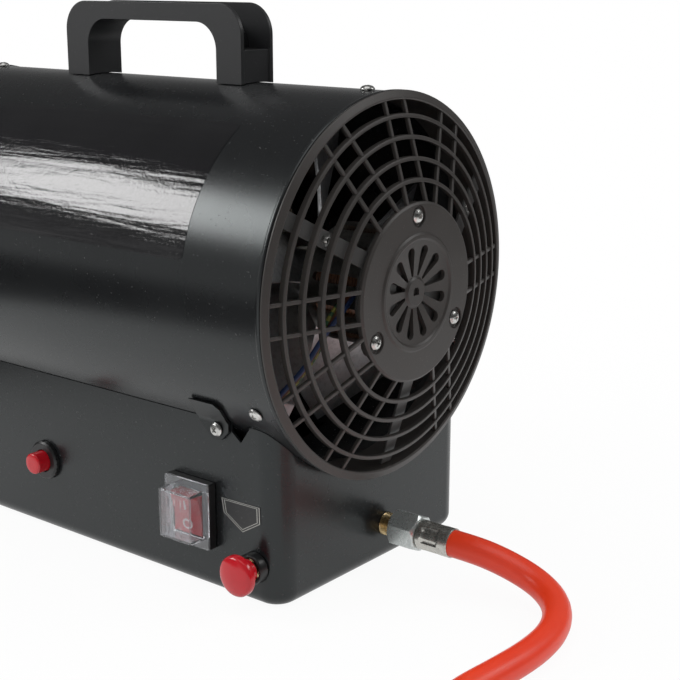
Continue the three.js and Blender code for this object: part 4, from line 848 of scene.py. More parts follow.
class HEATER_OT_stage(bpy.types.Operator):
    """Sets the camera, the floor, the lights and the room."""

    bl_idname = "heater.stage"
    bl_label = "Stage"

    def execute(self, context):
        scene = context.scene
        studio = scene.heater_studio
        data = bpy.data.cameras.new("camera")
        data.lens, data.sensor_width = studio.lens, 36
        camera = bpy.data.objects.new("camera", data)
        camera.location = CAMERA_AT
        camera.rotation_mode = "QUATERNION"
        camera.rotation_quaternion = (-direction(CAMERA_AZIMUTH, CAMERA_ELEVATION)).to_track_quat("-Z", "Y")
        scene.collection.objects.link(camera)
        scene.camera = camera
        scene.view_settings.view_transform = "Standard"

        self.softbox(scene, "key_softbox", -50, 30.3, 1.8, 0.85, 0.52, studio.key_power)
        self.softbox(scene, "far_softbox", 128, 34, 1.9, 0.7, 0.7, studio.key_power * 0.6)
        self.softbox(scene, "top_softbox", 20, 82, 2.0, 1.5, 1.5, studio.top_power)
        self.floor()
        self.flag("near_flag", -150, -5, 430, 150)
        self.flag("far_flag", 45, 165, 850, 560)
        self.flag("back_flag", 166, 208, 430, 240)
        self.room(scene, studio.room)
        return {"FINISHED"}

    def softbox(self, scene, name, azimuth, elevation, distance, width, height, power):
        """A lamp that faces the drum's middle; distance and sizes are in metres."""
        data = bpy.data.lights.new(name, "AREA")
        data.shape, data.size, data.size_y, data.energy = "RECTANGLE", width, height, power
        lamp = bpy.data.objects.new(name, data)
        away = direction(azimuth, elevation)
        lamp.location = away * distance + Vector((0, 0, AXIS_Z * MM))
        lamp.rotation_mode = "QUATERNION"
        lamp.rotation_quaternion = away.to_track_quat("Z", "Y")
        lamp.visible_camera = False
        scene.collection.objects.link(lamp)

    def floor(self):
        """A pale floor that turns plain white towards the horizon."""
        reach = 4000
        corners = [(a * reach, b * reach, -0.2) for a, b in ((-1, -1), (1, -1), (1, 1), (-1, 1))]
        floor = build("floor", (corners, [[0, 1, 2, 3]]))
        material = bpy.data.materials.new("pale_floor")
        tree = Tree(material)
        tone = tree.mix(tree.noise(60, 4, 0.6), (0.86, 0.86, 0.86), (0.82, 0.82, 0.82))
        pale = tree.add("ShaderNodeBsdfDiffuse", {}, {"Color": tone})
        white = tree.add("ShaderNodeEmission", {}, {"Color": (1, 1, 1), "Strength": 1.0})
        camera, glossy, through = tree.rays()
        x, y, _ = tree.axes()
        away = ((x * x + y * y) ** 0.5).between(0.25, 0.75)
        share = camera.most(through) * (0.94 + away * 0.06) + glossy * 0.66
        seen = tree.add("ShaderNodeMixShader", {}, {0: share.least(1.0), 1: pale, 2: white})
        tree.add("ShaderNodeOutputMaterial", {}, {0: seen})
        floor.data.materials.append(material)

    def flag(self, name, start, end, radius, top):
        """A dark card that only reflections see, so that gloss paint keeps its dark sides."""
        verts, faces = [], []
        steps = 24
        for k in range(steps + 1):
            a = math.radians(start + (end - start) * k / steps)
            for z in (-0.1, top):
                verts.append((radius * math.sin(a), -radius * math.cos(a), z))
        for k in range(steps):
            faces.append([2 * k, 2 * k + 2, 2 * k + 3, 2 * k + 1])
        card = build(name, (verts, faces))
        material = bpy.data.materials.new(name)
        tree = Tree(material)
        black = tree.add("ShaderNodeBsdfDiffuse", {}, {"Color": (0.02, 0.02, 0.02)})
        tree.add("ShaderNodeOutputMaterial", {}, {0: black})
        card.data.materials.append(material)
        card.visible_camera = card.visible_diffuse = card.visible_shadow = card.visible_transmission = False

    def room(self, scene, level):
        """White for the camera, an even light for matt surfaces, a darker dome for reflections."""
        scene.world = bpy.data.worlds.new("room")
        tree = Tree(scene.world)
        view = tree.add("ShaderNodeTexCoord", output=0)
        height = tree.add("ShaderNodeSeparateXYZ", {}, {0: view}, output=2)
        camera, glossy, through = tree.rays()
        dome = 0.5 - height.between(0.0, 0.35) * 0.4
        light = camera.most(through * 0.9).most(glossy * dome).most((1 - glossy) * level)
        back = tree.add("ShaderNodeBackground", {}, {"Color": (1, 1, 1), "Strength": light})
        tree.add("ShaderNodeOutputWorld", {}, {0: back})


# ---------------------------------------------------------------- gas line


def coil_point(turns):
    """The hose's middle after some turns of the coil, which winds inward and then back outward."""
    angle = TURN * (COIL_START + turns)
    inward = turns if turns < COIL_REVERSES else 2 * COIL_REVERSES - turns
    radius = COIL_OUTER - COIL_SIDEWAYS * inward
    t = max(0.0, min(1.0, (turns - COIL_REVERSES + 0.25) / 0.5))
    climb = t * t * (3 - 2 * t)
    return Vector(
        (
            COIL_CENTRE[0] + radius * math.cos(angle),
            COIL_CENTRE[1] + radius * math.sin(angle),
            COIL_BOTTOM + COIL_RISE * climb,
        )
    )


def hose_points():
    """The hose's middle line from its ferrule through the coil to its far end."""
    start = coil_point(0)
    heading = (coil_point(0.002) - start).normalized()
    points = [Vector(p) for p in HOSE_ROUTE]
    points += [start - heading * 15.3]
    steps = round(COIL_TURNS * 24)
    points += [coil_point(COIL_TURNS * k / steps) for k in range(steps + 1)]
    end = coil_point(COIL_TURNS)
    points += [end + Vector((7.5, 0, 0)), end + Vector((15, 0, 0))]
    return points


class HEATER_OT_hose(bpy.types.Operator):
    """Lays the gas hose from its ferrule to the tied coil."""

    bl_idname = "heater.hose"
    bl_label = "Hose"

    def execute(self, context):
        points = hose_points()
        data = bpy.data.curves.new("gas_hose", "CURVE")
        data.dimensions = "3D"
        data.bevel_depth = HOSE_RADIUS * MM
        data.bevel_resolution = 10
        data.resolution_u = 6
        data.use_fill_caps = True
        line = data.splines.new("NURBS")
        line.points.add(len(points) - 1)
        for point, place in zip(line.points, points):
            point.co = (*(place * MM), 1)
        line.order_u = 4
        line.use_endpoint_u = True
        hose = bpy.data.objects.new("gas_hose", data)
        context.scene.collection.objects.link(hose)
        data.materials.append(FINISHES["hose"])
        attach(hose, "heater")
        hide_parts("hose", "hose_coil")
        pieces = [fitting(name) for name in FITTINGS]
        ties = [
            refined(f"coil_strap_{k}", f"coil_tie_{k}", "black", edge=0.25) for k in (1, 2)
        ]
        length = hose_length(hose)
        return {"FINISHED"}


def hose_length(hose):
    """Length of the hose's middle line, in metres, to the nearest millimetre."""
    line = hose.copy()
    line.data = hose.data.copy()
    line.data.bevel_depth = 0
    bpy.context.scene.collection.objects.link(line)
    bpy.context.view_layer.update()
    mesh = bpy.data.meshes.new_from_object(line.evaluated_get(bpy.context.evaluated_depsgraph_get()))
    places = [v.co for v in mesh.vertices]
    length = sum((b - a).length for a, b in zip(places, places[1:]))
    bpy.data.objects.remove(line)
    return round(length, 3)


def hex_nut(turn):
    """A hexagon nut along X with turned chamfers."""
    length, flats = 17.5, 19.0
    corner = flats / 2 / math.cos(math.pi / 6)
    outline = bend_corners([(*p, 0.5) for p in circle(6, corner, turn)], steps=3)
    nut = build("nut", prism(outline, "YZ", 0, length))
    chamfer = [(0, 0), (0, 8.9), (0.25, 9.4), (1.9, corner + 0.1)]
    chamfer += [(length - x, r) for x, r in reversed(chamfer)]
    carve(nut, lathe(chamfer, 96), "INTERSECT")
    return taken(nut)


def crimped(sizes):
    """A pressed ferrule along X, with lengthwise grooves; its end is a sleeve over the hose."""
    length, full, sleeve, inner = 21.0, 8.2, 5.6, 7.56
    rows, segments = 40, sizes.crimps * 16
    depth = sizes.crimp_depth / MM
    rings = []
    for i in range(rows + 1):
        x = length * i / rows
        press = min(1, max(0, (x - 3.4) / 1.6)) * min(1, max(0, (length - sleeve - 0.6 - x) / 1.2))
        lip = 0.5 * max(0, 1 - x / 0.5) + 0.35 * max(0, 1 - (length - x) / 0.5)
        ring = []
        for k in range(segments):
            a = TURN * k / segments
            groove = max(0.0, math.cos(a * sizes.crimps)) ** 0.6
            r = full - lip - press * (0.15 + depth * groove)
            ring.append((x, r * math.cos(a), r * math.sin(a)))
        rings.append(ring)
    for x in (length, length - sleeve):
        rings.append([(x, b, c) for b, c in circle(segments, inner)])
    return skin(rings)


FITTINGS = {
    "hex_nut": "swivel_nut",
    "ferrule": "hose_ferrule",
    "far_ferrule": "far_ferrule",
    "far_hex_nut": "far_nut",
}
FAR_NUT_BORE = [(0.4, 0), (0.4, 7.4), (-0.9, 6.4), (-9.5, 6.4), (-9.5, 2.6), (-13, 2.6), (-13, 0)]


def fitting(name):
    """A nut or ferrule on the hose, set where its CAD node is; the far ones face the other way."""
    node = FITTINGS[name]
    low, high = (Vector(p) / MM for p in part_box(node))
    middle = (low + high) / 2
    is_nut, is_far = "nut" in name, name.startswith("far_")
    shape = hex_nut(0 if is_far else 36) if is_nut else crimped(bpy.context.scene.heater_gas_line)
    start = low.x
    if is_far:
        shape = moved(shape, Matrix.Rotation(math.pi, 4, "Z"))
        start = high.x
    piece = build(name + "_visual", shifted(shape, start, middle.y, middle.z))
    if is_nut and is_far:
        carve(piece, shifted(lathe(FAR_NUT_BORE, 48), start, middle.y, middle.z))
    if is_nut:
        round_edges(piece, 0.22, 2, 22)
    return dress(piece, FINISHES["nut" if is_nut else "ferrule"], stands_for=(node,), crease=28)


class HEATER_OT_gas_inlet(bpy.types.Operator):
    """Turns the brass inlet with its thread, and the pipes inside the base."""

    bl_idname = "heater.gas_inlet"
    bl_label = "Gas inlet"

    def execute(self, context):
        y, z = INLET_AT
        profile = [(124, 0), (124, 6.4), (141.4, 6.4), (141.6, 6.1)]
        pitch, x = 0.9, 141.9
        while x < 147.2:
            profile += [(x, 6.4), (x + 0.35, 6.4), (x + 0.62, 5.85)]
            x += pitch
        profile += [(147.6, 6.0), (148.2, 5.5), (148.2, 3), (128, 3), (128, 0)]
        inlet = build("brass_inlet", shifted(lathe(profile, 64), 0, y, z))
        low, _ = (Vector(p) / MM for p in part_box("gas_inlet"))
        body = block((low.x + 0.05, y - 8, z - 8), (139.35, y + 8, z + 8))
        carve(inlet, body, "UNION")
        round_edges(inlet, 0.35, 2, 60)
        dress(inlet, FINISHES["brass"], stands_for=("gas_inlet",))
        for node in ("feed_pipe", "burner_pipe"):
            refined(node.replace("pipe", "tube"), node, "brass", crease=60)
        return {"FINISHED"}


# ---------------------------------------------------------------- drum


class HEATER_OT_drum(bpy.types.Operator):
    """Rolls the drum with a bead at each end and its lap seam underneath."""

    bl_idname = "heater.drum"
    bl_label = "Drum"

    def execute(self, context):
        half = context.scene.heater_drum.bead / MM / 2
        bead = []
        for k in range(13):
            a = math.pi * k / 12
            x = DRUM_REAR - half - 0.1 - (half - 0.1) * math.cos(a)
            bead.append((x, DRUM_RADIUS + math.sin(a) ** 0.8))
        rear = bead + [(DRUM_REAR, DRUM_RADIUS - 0.2), (DRUM_REAR, DRUM_INSIDE + 0.1)]
        mirror = [(DRUM_FRONT + DRUM_REAR - x, r) for x, r in reversed(rear)]
        drum = build("drum_skin", about_drum(mirror + rear, 256))
        service_hole = block((20, -30, 40), (80, 30, 110))
        carve(drum, service_hole)
        dress(drum, FINISHES["paint"], stands_for=("drum_shell",), crease=50)
        section = ((100.75, 264), (100.75, 272), (99.9, 272), (99.9, 264))
        ends = [[around(x, r, d) for r, d in section] for x in (DRUM_FRONT + 5, 17)]
        lap = build("drum_lap_seam", skin(ends))
        dress(lap, FINISHES["paint"])
        return {"FINISHED"}


class HEATER_OT_label(bpy.types.Operator):
    """Lays the bare vinyl label on the drum."""

    bl_idname = "heater.label"
    bl_label = "Label"

    def execute(self, context):
        right = 95.6
        left = right - context.scene.heater_drum.label_length / MM
        low, high = 121.8, 166.6
        corner, scale = 3.0, TURN * DRUM_RADIUS / 360
        rows, columns = 60, 48
        verts, faces = [], []
        for radius in (DRUM_RADIUS + 0.02, DRUM_RADIUS + 0.17):
            for i in range(rows + 1):
                d = low + (high - low) * i / rows
                edge = min(d - low, high - d) * scale
                inset = corner - math.sqrt(max(0, corner ** 2 - (corner - min(corner, edge)) ** 2))
                for k in range(columns + 1):
                    x = left + inset + (right - left - 2 * inset) * k / columns
                    verts.append(around(x, radius, d))
        width = columns + 1
        layer = (rows + 1) * width
        for i in range(rows):
            for k in range(columns):
                a = i * width + k
                faces.append([a, a + 1, a + width + 1, a + width])
                faces.append([a + layer, a + layer + width, a + layer + width + 1, a + layer + 1])
        border = list(range(width))
        border += [i * width + columns for i in range(1, rows + 1)]
        border += [rows * width + k for k in range(columns - 1, -1, -1)]
        border += [i * width for i in range(rows - 1, 0, -1)]
        for a, b in zip(border, border[1:] + border[:1]):
            faces.append([a, b, b + layer, a + layer])
        label = build("bare_label", (verts, faces))
        dress(label, FINISHES["vinyl"])
        return {"FINISHED"}


# ---------------------------------------------------------------- grille


def dome(radius):
    """How far back the grille's cone stands at a radius."""
    return RIM_LIP + (RIM_INNER - radius) * 0.3


class HEATER_OT_grille(bpy.types.Operator):
    """Moulds the intake grille: rim, four rings, eight pairs of bars and the vented hub."""

    bl_idname = "heater.grille"
    bl_label = "Intake grille"

    def execute(self, context):
        rim = bend_corners(
            [
                (RIM_BACK, 103, 0.4),
                (RIM_FRONT, 103, 0.5),
                (RIM_LIP, RIM_INNER + 1.1, 0.8),
                (RIM_LIP - 0.35, RIM_INNER, 0.5),
                (125.6, RIM_INNER),
                (125.6, SKIRT_OUTER),
                (RIM_BACK, SKIRT_OUTER),
            ],
            steps=4,
        )
        grille = build("intake_grille", about_drum(rim, 224))
        rings = []
        for middle in (90.2, 79.5, 68.8, 58.1):
            outer, inner = middle + 1.1, middle - 1.1
            section = [
                (dome(outer) - 3, outer),
                (dome(outer), outer, 0.55),
                (dome(inner), inner, 0.55),
                (dome(inner) - 3, inner),
            ]
            rings.append(about_drum(bend_corners(section, steps=3), 192))
        carve(grille, together(*rings), "UNION")
        spokes = (0, 60, 90, 120, 180, 210, 240, 300)
        bars = [self.bar(degrees, side * 8.1) for degrees in spokes for side in (-1, 1)]
        carve(grille, together(*bars), "UNION")
        carve(grille, self.hub(), "UNION")
        dress(grille, FINISHES["grille"], stands_for=("rear_grille",), crease=32)
        return {"FINISHED"}

    def bar(self, degrees, sideways):
        """A straight bar beside a radius, its front edges rounded."""
        a = math.radians(degrees)
        radial, across = Vector((0, math.cos(a), math.sin(a))), Vector((0, -math.sin(a), math.cos(a)))
        section = bend_corners([(-1.1, -2), (-1.1, 0, 0.55), (1.1, 0, 0.55), (1.1, -2)], steps=3)
        ends = []
        for radius in (HUB_RADIUS - 1.2, RIM_INNER + 0.6):
            reach = math.sqrt(radius ** 2 - sideways ** 2)
            front = dome(radius) - 0.9
            ends.append(
                [
                    radial * reach + across * (sideways + t) + Vector((front + d, 0, AXIS_Z))
                    for t, d in section
                ]
            )
        return skin(ends)

    def hub(self):
        """The dished hub with its ridge, boss, screw pockets and twelve teardrop vents."""
        front, sunk = HUB_FRONT, HUB_FRONT - 2.2
        profile = [
            (front - HUB_WALL, HUB_RADIUS),
            (front - 0.9, HUB_RADIUS, 0.5),
            (front, HUB_RADIUS - 1.3, 0.9),
            (front, 31.5, 0.6),
            (front + 0.9, 30.4, 0.5),
            (front + 0.9, 28.6, 0.5),
            (front, 27.5, 0.5),
            (sunk, 8.2, 0.6),
            (sunk + 1, 7.0, 0.5),
            (sunk + 1, 0),
        ]
        outer = bend_corners(profile, closed=False, steps=4)
        inner = [(sunk - HUB_WALL, 0), (sunk - HUB_WALL, 7), (front - HUB_WALL, 27.5)]
        hub = build("hub", about_drum(outer + inner, 192))
        seats = [around(front, HUB_SCREW_CIRCLE, d) for d in SCREW_ANGLES]
        boss = cylinder(-2 - HUB_WALL, 0.5 - HUB_WALL, 7.6, 40)
        bosses = build("bosses", together(*[facing(boss, seat, (1, 0, 0)) for seat in seats]))
        carve(bosses, shifted(cylinder(front - 8, front - 1, HUB_RADIUS, 192), z=AXIS_Z), "INTERSECT")
        carve(hub, taken(bosses), "UNION")
        pocket = [(2, 0), (2, 6.2), (0.15, 6.0), (-0.4, 5.6, 0.3), (-1.8, 5.6, 0.4)]
        pocket += [(-1.8, 2.3), (-7, 2.3), (-7, 0)]
        cuts = [facing(turned(pocket, 48, 3), seat, (1, 0, 0)) for seat in seats]
        teardrop = [(9.0, -0.75), (22.0, -3.0)]
        for s in range(1, 10):
            b = -math.pi / 2 + math.pi * s / 10
            teardrop.append((22.0 + 3 * math.cos(b), 3 * math.sin(b)))
        teardrop += [(22.0, 3.0), (9.0, 0.75), (8.6, 0.0)]
        for k in range(12):
            a = TURN * (k + 0.5) / 12
            y, z = math.cos(a), math.sin(a)
            outline = [(r * y - t * z, AXIS_Z + r * z + t * y) for r, t in teardrop]
            cuts.append(prism(outline, "YZ", front - 12, front + 6))
        boss_hole = [(-2.4, -1.6), (2.4, -1.6), (2.4, 1.0), (1.4, 2.4), (-1.4, 2.4), (-2.4, 1.0)]
        cuts.append(shifted(prism(boss_hole, "YZ", front - 3.4, front + 2), z=AXIS_Z))
        carve(hub, together(*cuts))
        return taken(hub)


# ---------------------------------------------------------------- screws


def screw_shape():
    """A pan-head screw along X with a cross recess."""
    head = [(0, 3.9, 0.25), (0.7, 3.9, 0.6), (1.75, 2.9, 1.2), (2.3, 1.2, 0.5), (2.3, 0)]
    screw = build("screw", turned([(-9, 0), (-9, 1.2), (-8, 2), (0, 2), *head], 48))
    outline = [(0.75, -0.55), (2.6, -2.15), (2.6, 2.15), (0.75, 0.55)]
    arm = skin([[(x, side * (0.36 + 0.12 * (x > 1)), t) for x, t in outline] for side in (-1, 1)])
    for turn in (0, 90):
        carve(screw, moved(arm, Matrix.Rotation(math.radians(turn), 4, "X")))
    return taken(screw)


class HEATER_OT_screws(bpy.types.Operator):
    """Sets the pan-head screws of drum, hub, handle and lugs."""

    bl_idname = "heater.screws"
    bl_label = "Screws"

    def execute(self, context):
        shape = screw_shape()
        short = ([(max(x, -4.4), y, z) for x, y, z in shape[0]], shape[1])
        seats = []
        for k, d in enumerate(SCREW_ANGLES, 1):
            out = (0, math.cos(math.radians(d)), math.sin(math.radians(d)))
            seats.append((f"drum_screw_rear_{k}", around(133.6, ON_DRUM, d), out, 20 + 47 * k))
            seats.append((f"drum_screw_front_{k}", around(-163.4, ON_DRUM, d), out, 71 * k))
            seats.append((f"hub_screw_{k}", around(166.11, HUB_SCREW_CIRCLE, d), (1, 0, 0), 33 * k))
        for k, x in enumerate(HANDLE_SCREWS, 1):
            seats.append((f"handle_screw_{k}", (x, 0, 260.0), (0, 0, -1), 25 * k))
        for end, along in ((1, "rear"), (-1, "front")):
            for side, name in ((-1, "near"), (1, "far")):
                place = (end * 101.0, side * 83.1, 92.61)
                seats.append((f"lug_screw_{along}_{name}", place, (0, side, 0), 15 + 40 * end))
        for node, seat, out, turn in seats:
            body = short if node.startswith("lug") else shape
            spun = moved(body, Matrix.Rotation(math.radians(turn), 4, "X"))
            piece = build(node.replace("screw", "pan_screw"), facing(spun, seat, out))
            dress(piece, FINISHES["zinc"], stands_for=(node,), crease=30)
        return {"FINISHED"}


# ---------------------------------------------------------------- motor and fan


class HEATER_OT_motor(bpy.types.Operator):
    """Builds the motor on its bracket, with its winding and wires."""

    bl_idname = "heater.motor"
    bl_label = "Motor"

    def execute(self, context):
        sizes = context.scene.heater_fan
        refined("motor_mount", "motor_bracket", "bracket", edge=0.3, angle=45)
        can = [
            (160.9, 0),
            (160.9, 26.5, 3),
            (157.0, 32, 1.5),
            (118.5, 32, 2.5),
            (114.91, 27.5, 1.5),
            (114.91, 12, 0.8),
            (109.91, 12, 0.8),
            (109.91, 4.15),
            (144.0, 4.15),
            (144.0, 0),
        ]
        motor = build("motor_can", shifted(turned(can, 96), z=AXIS_Z))
        slot = prism(oblong((122, -2.4), (152, 2.4), 2.3, 4), "XY", 29.2, 34)
        slots = [round_axis(slot, 360 * (k + 0.5) / sizes.slots) for k in range(sizes.slots)]
        carve(motor, together(*slots))
        dress(motor, FINISHES["motor"], stands_for=("fan_motor",))
        turns = [(122, 29.25)]
        for k in range(14):
            x = 123 + 2 * k
            turns += [(x - 1, 29.3), (x, 30.1)]
        coil = build("motor_winding", about_drum(turns + [(151, 29.25), (151, 29.0), (122, 29.0)], 72))
        dress(coil, FINISHES["copper"])
        self.nuts()
        self.wires(sizes.wire / 2 / MM)
        return {"FINISHED"}

    def nuts(self):
        """The nuts that hold the upper straps."""
        radius = 70
        nut = prism(bend_corners([(*p, 0.4) for p in circle(6, 3.2)], steps=2), "YZ", 0, 2.2)
        stud = turned([(0, 0), (0, 1.6), (3.0, 1.6, 0.4), (3.0, 0)], 24, 3)
        bits = []
        for degrees in (30, 150):
            seat = around(dome(radius) - 6.65, radius, degrees)
            bits += [shifted(nut, *seat), shifted(stud, *seat)]
        nuts = build("strap_nuts", together(*bits))
        dress(nuts, FINISHES["zinc"])

    def wires(self, radius):
        """Blue, brown and earth wires from the motor round the drum's wall to the base."""
        for spread, name in enumerate(("blue_wire", "brown_wire", "earth_wire")):
            s = spread * 2.9
            t = s * 0.62
            route = [
                around(150 - s, 31.5, 176),
                around(153 - s, 36, 177),
                around(154.5 - s, 46 + s, 184 + s),
                around(152 - s, 60, 194 + 1.5 * s),
                around(148 - s, 76, 203 + s),
                around(141 - s, 89, 208 + s),
                around(132, 95.6, 214 + t),
                around(122, 97.6, 218 + t),
                around(100, 98.8, 224 + t),
                around(84, 98.9, 234 + t),
                around(70, 98.7, 247 + t),
                around(62 - s, 98.6, 258),
                around(58 - s, 106, 262),
            ]
            wire = build(name, tube(spline(route), radius))
            dress(wire, FINISHES[name], crease=70)


class HEATER_OT_fan(bpy.types.Operator):
    """Finishes the fan, its shaft and its nut."""

    bl_idname = "heater.fan"
    bl_label = "Fan"

    def execute(self, context):
        refined("fan_blades", "fan", "aluminium", "fan", crease=40)
        refined("shaft", "fan_shaft", "zinc", "fan", edge=0.3)
        refined("shaft_nut", "fan_nut", "zinc", "fan", edge=0.3, angle=25)
        return {"FINISHED"}


# ---------------------------------------------------------------- burner


class HEATER_OT_burner(bpy.types.Operator):
    """Builds the combustion tube, outlet ring, burner, electrode and probe."""

    bl_idname = "heater.burner"
    bl_label = "Burner"

    def execute(self, context):
        radius, wall = 74.9, 1.2
        outer = [(-170.55, radius), (-168, radius)]
        for groove in (-118.5, -38.5):
            outer += [(groove - 1.5, radius), (groove, radius - 0.7), (groove + 1.5, radius)]
        outer.append((19.35, radius))
        inner = [(x, r - wall) for x, r in reversed(outer)]
        liner = build("flame_tube", about_drum(outer + inner, 160))
        slots = []
        for row, x in enumerate((-90, -65, -8)):
            hole = prism(oblong((x - 6, -2), (x + 6, 2), 1.9, 3), "XY", 70, 80)
            slots += [round_axis(hole, 360 * (k + 0.5 * (row % 2)) / 14) for k in range(14)]
        carve(liner, together(*slots))
        dress(liner, FINISHES["heated"], stands_for=("combustion_tube",))
        refined("hot_air_ring", "outlet_ring", "paint", edge=0.35, angle=45)
        for node, name, edge in (
            ("burner_cup", "burner_bowl", 0.3),
            ("burner_disc", "burner_plate", 0.25),
            ("burner_strap", "burner_arm", 0.25),
        ):
            refined(name, node, "heated", edge=edge, angle=45)
        refined("spark_rod", "spark_electrode", "ceramic", crease=40)
        refined("flame_rod", "flame_probe", "brass", crease=40)
        return {"FINISHED"}


# ---------------------------------------------------------------- handle


class HEATER_OT_handle(bpy.types.Operator):
    """Moulds the carrying handle: an open channel with filled feet, and painted shade inside the channel (a
    darker copy of the handle plastic).
    """

    bl_idname = "heater.handle"
    bl_label = "Handle"

    def execute(self, context):
        edge = context.scene.heater_plastic.edge / MM

        def arch(half, top, bend, low=AXIS_Z):
            left, right = HANDLE_MIDDLE - half, HANDLE_MIDDLE + half
            return bend_corners([(left, low), (right, low), (right, top, bend), (left, top, bend)], steps=18)

        handle = build("carry_handle", prism(arch(71, 304, 17), "XZ", -13, 13))
        carve(handle, prism(arch(52.1, 293.8, 15), "XZ", -14, 14))
        carve(handle, facing(cylinder(-100, 70, ON_DRUM, 256), (0, 0, AXIS_Z), (1, 0, 0)))
        trough = build("trough", block((HANDLE_MIDDLE - 76, -10.4, 279.5), (HANDLE_MIDDLE + 76, 10.4, 310)))
        carve(trough, prism(arch(55.1, 296.8, 18), "XZ", -12, 12))
        carve(handle, taken(trough))
        for end in (-1, 1):
            low, high = sorted((HANDLE_MIDDLE + end * 70, HANDLE_MIDDLE + end * 75.5))
            carve(handle, block((low, -10.4, 200), (high, 10.4, 280.5)))
        for x in HANDLE_SCREWS:
            carve(handle, facing(cylinder(0, 20, 2.3, 24), (x, 0, 250), (0, 0, 1)))
        round_edges(handle, edge, 3, 38)
        dress(handle, (FINISHES["handle"], FINISHES["channel"]), stands_for=("handle",))
        # Faces inside the trough take the second slot, the painted shade of the channel.
        for face in handle.data.polygons:
            x, y, z = face.center / MM
            beyond_grip_hole = abs(x - HANDLE_MIDDLE) > 52.3 or z > 294
            if abs(y) < 10.5 and z > 279.3 and beyond_grip_hole:
                face.material_index = 1
        return {"FINISHED"}


# ---------------------------------------------------------------- base


def tray(levels, steps=14):
    """A stack of rounded rectangles, each (height, inset), skinned into one closed body."""
    corner = 14
    sections = []
    for z, inset in levels:
        radius = corner - inset
        section = []
        for c, (sx, sy) in enumerate(((1, 1), (-1, 1), (-1, -1), (1, -1))):
            for k in range(steps + 1):
                a = math.pi / 2 * (c + k / steps)
                x = sx * (BASE_HALF - corner) + radius * math.cos(a)
                y = sy * (SIDE_Y - corner) + radius * math.sin(a)
                section.append((x, y, z))
        sections.append(section)
    return skin(sections)


def edge_levels(inset, top, steps):
    """The levels of a tray's wall: round at the bottom, then straight up."""
    radius = 8 - inset
    levels = []
    for k in range(steps + 1):
        a = math.pi / 2 * k / steps
        levels.append((inset + radius * (1 - math.cos(a)), inset + radius * (1 - math.sin(a))))
    return levels + [(top, inset)]


class HEATER_OT_base(bpy.types.Operator):
    """Presses the base housing and cuts its openings."""

    bl_idname = "heater.base"
    bl_label = "Base housing"

    def execute(self, context):
        base = build("base_tray", tray(edge_levels(0, BASE_TOP, 12)))
        carve(base, tray(edge_levels(1.5, BASE_TOP + 5, 8)))
        carve(base, facing(cylinder(-160, 160, ON_DRUM, 256), (0, 0, AXIS_Z), (1, 0, 0)))
        x, _, z = SWITCH_AT
        holes = [block((x - 13.1, -86, z - 15.1), (x + 13.1, -76, z + 15.1))]
        for x, z, r, side in ((*VALVE_AT, 7.5, -1), (*IGNITER_AT, 8.9, -1), (*GLAND_AT, 7.5, 1)):
            holes.append(facing(cylinder(-5, 5, r), (x, side * SIDE_Y, z), (0, side, 0)))
        y, z = INLET_AT
        holes.append(facing(cylinder(-5, 5, 6.7), (BASE_HALF, y, z), (1, 0, 0)))
        carve(base, together(*holes))
        start = 109.4
        notch = [
            (start, BASE_TOP + 5),
            (start + 18.5, BASE_TOP + 5),
            (start + 13.5, BASE_TOP - 0.4),
            (start + 6.48, BASE_TOP - 10.5, 0.6),
            (start, BASE_TOP - 5.46, 0.6),
        ]
        notches = []
        for end in (-1, 1):
            outline = bend_corners([(end * p[0], *p[1:]) for p in notch], steps=3)
            for side in (-1, 1):
                low, high = sorted((side * 76, side * 86))
                notches.append(prism(outline, "XZ", low, high))
        carve(base, together(*notches))
        dress(base, FINISHES["paint"], stands_for=("base_shell",), crease=40)
        return {"FINISHED"}


class HEATER_OT_lugs(bpy.types.Operator):
    """Folds the four sheet lugs that tie the base to the drum."""

    bl_idname = "heater.lugs"
    bl_label = "Lugs"

    def execute(self, context):
        for name in ("rear_near", "front_near", "rear_far", "front_far"):
            refined(f"sheet_lug_{name}", f"lug_{name}", "lug", edge=0.3, crease=30)
        return {"FINISHED"}


class HEATER_OT_badge(bpy.types.Operator):
    """Sticks the bare five-sided badge with its double outline beside the switch."""

    bl_idname = "heater.badge"
    bl_label = "Badge"

    def execute(self, context):
        corners = [(101.0, 55.0), (128.6, 55.6), (128.8, 46.3), (116.2, 38.7), (102.5, 46.8)]
        middle = Vector((115.2, 49.0))
        shares = (1.0, 0.965, 0.93, 0.845, 0.81)
        printed = (1, 3)
        verts, faces = [], []
        for share in shares:
            for x, z in corners:
                p = middle + (Vector((x, z)) - middle) * share
                verts.append((p.x, -SIDE_Y - 0.2, p.y))
        count, rings = len(corners), len(shares) - 1
        for ring in range(rings):
            for k in range(count):
                a, b = ring * count + k, ring * count + (k + 1) % count
                faces.append([a, b, b + count, a + count])
        faces.append([rings * count + k for k in range(count)])
        back = len(verts)
        verts += [(x, -SIDE_Y - 0.02, z) for x, z in corners]
        for k in range(count):
            faces.append([k, (k + 1) % count, back + (k + 1) % count, back + k])
        faces.append([back + k for k in range(count)])
        badge = build("bare_badge", (verts, faces))
        dress(badge, (FINISHES["black"], FINISHES["print"]))
        for polygon in badge.data.polygons:
            polygon.material_index = int(polygon.index // count in printed)
        return {"FINISHED"}


# ---------------------------------------------------------------- controls


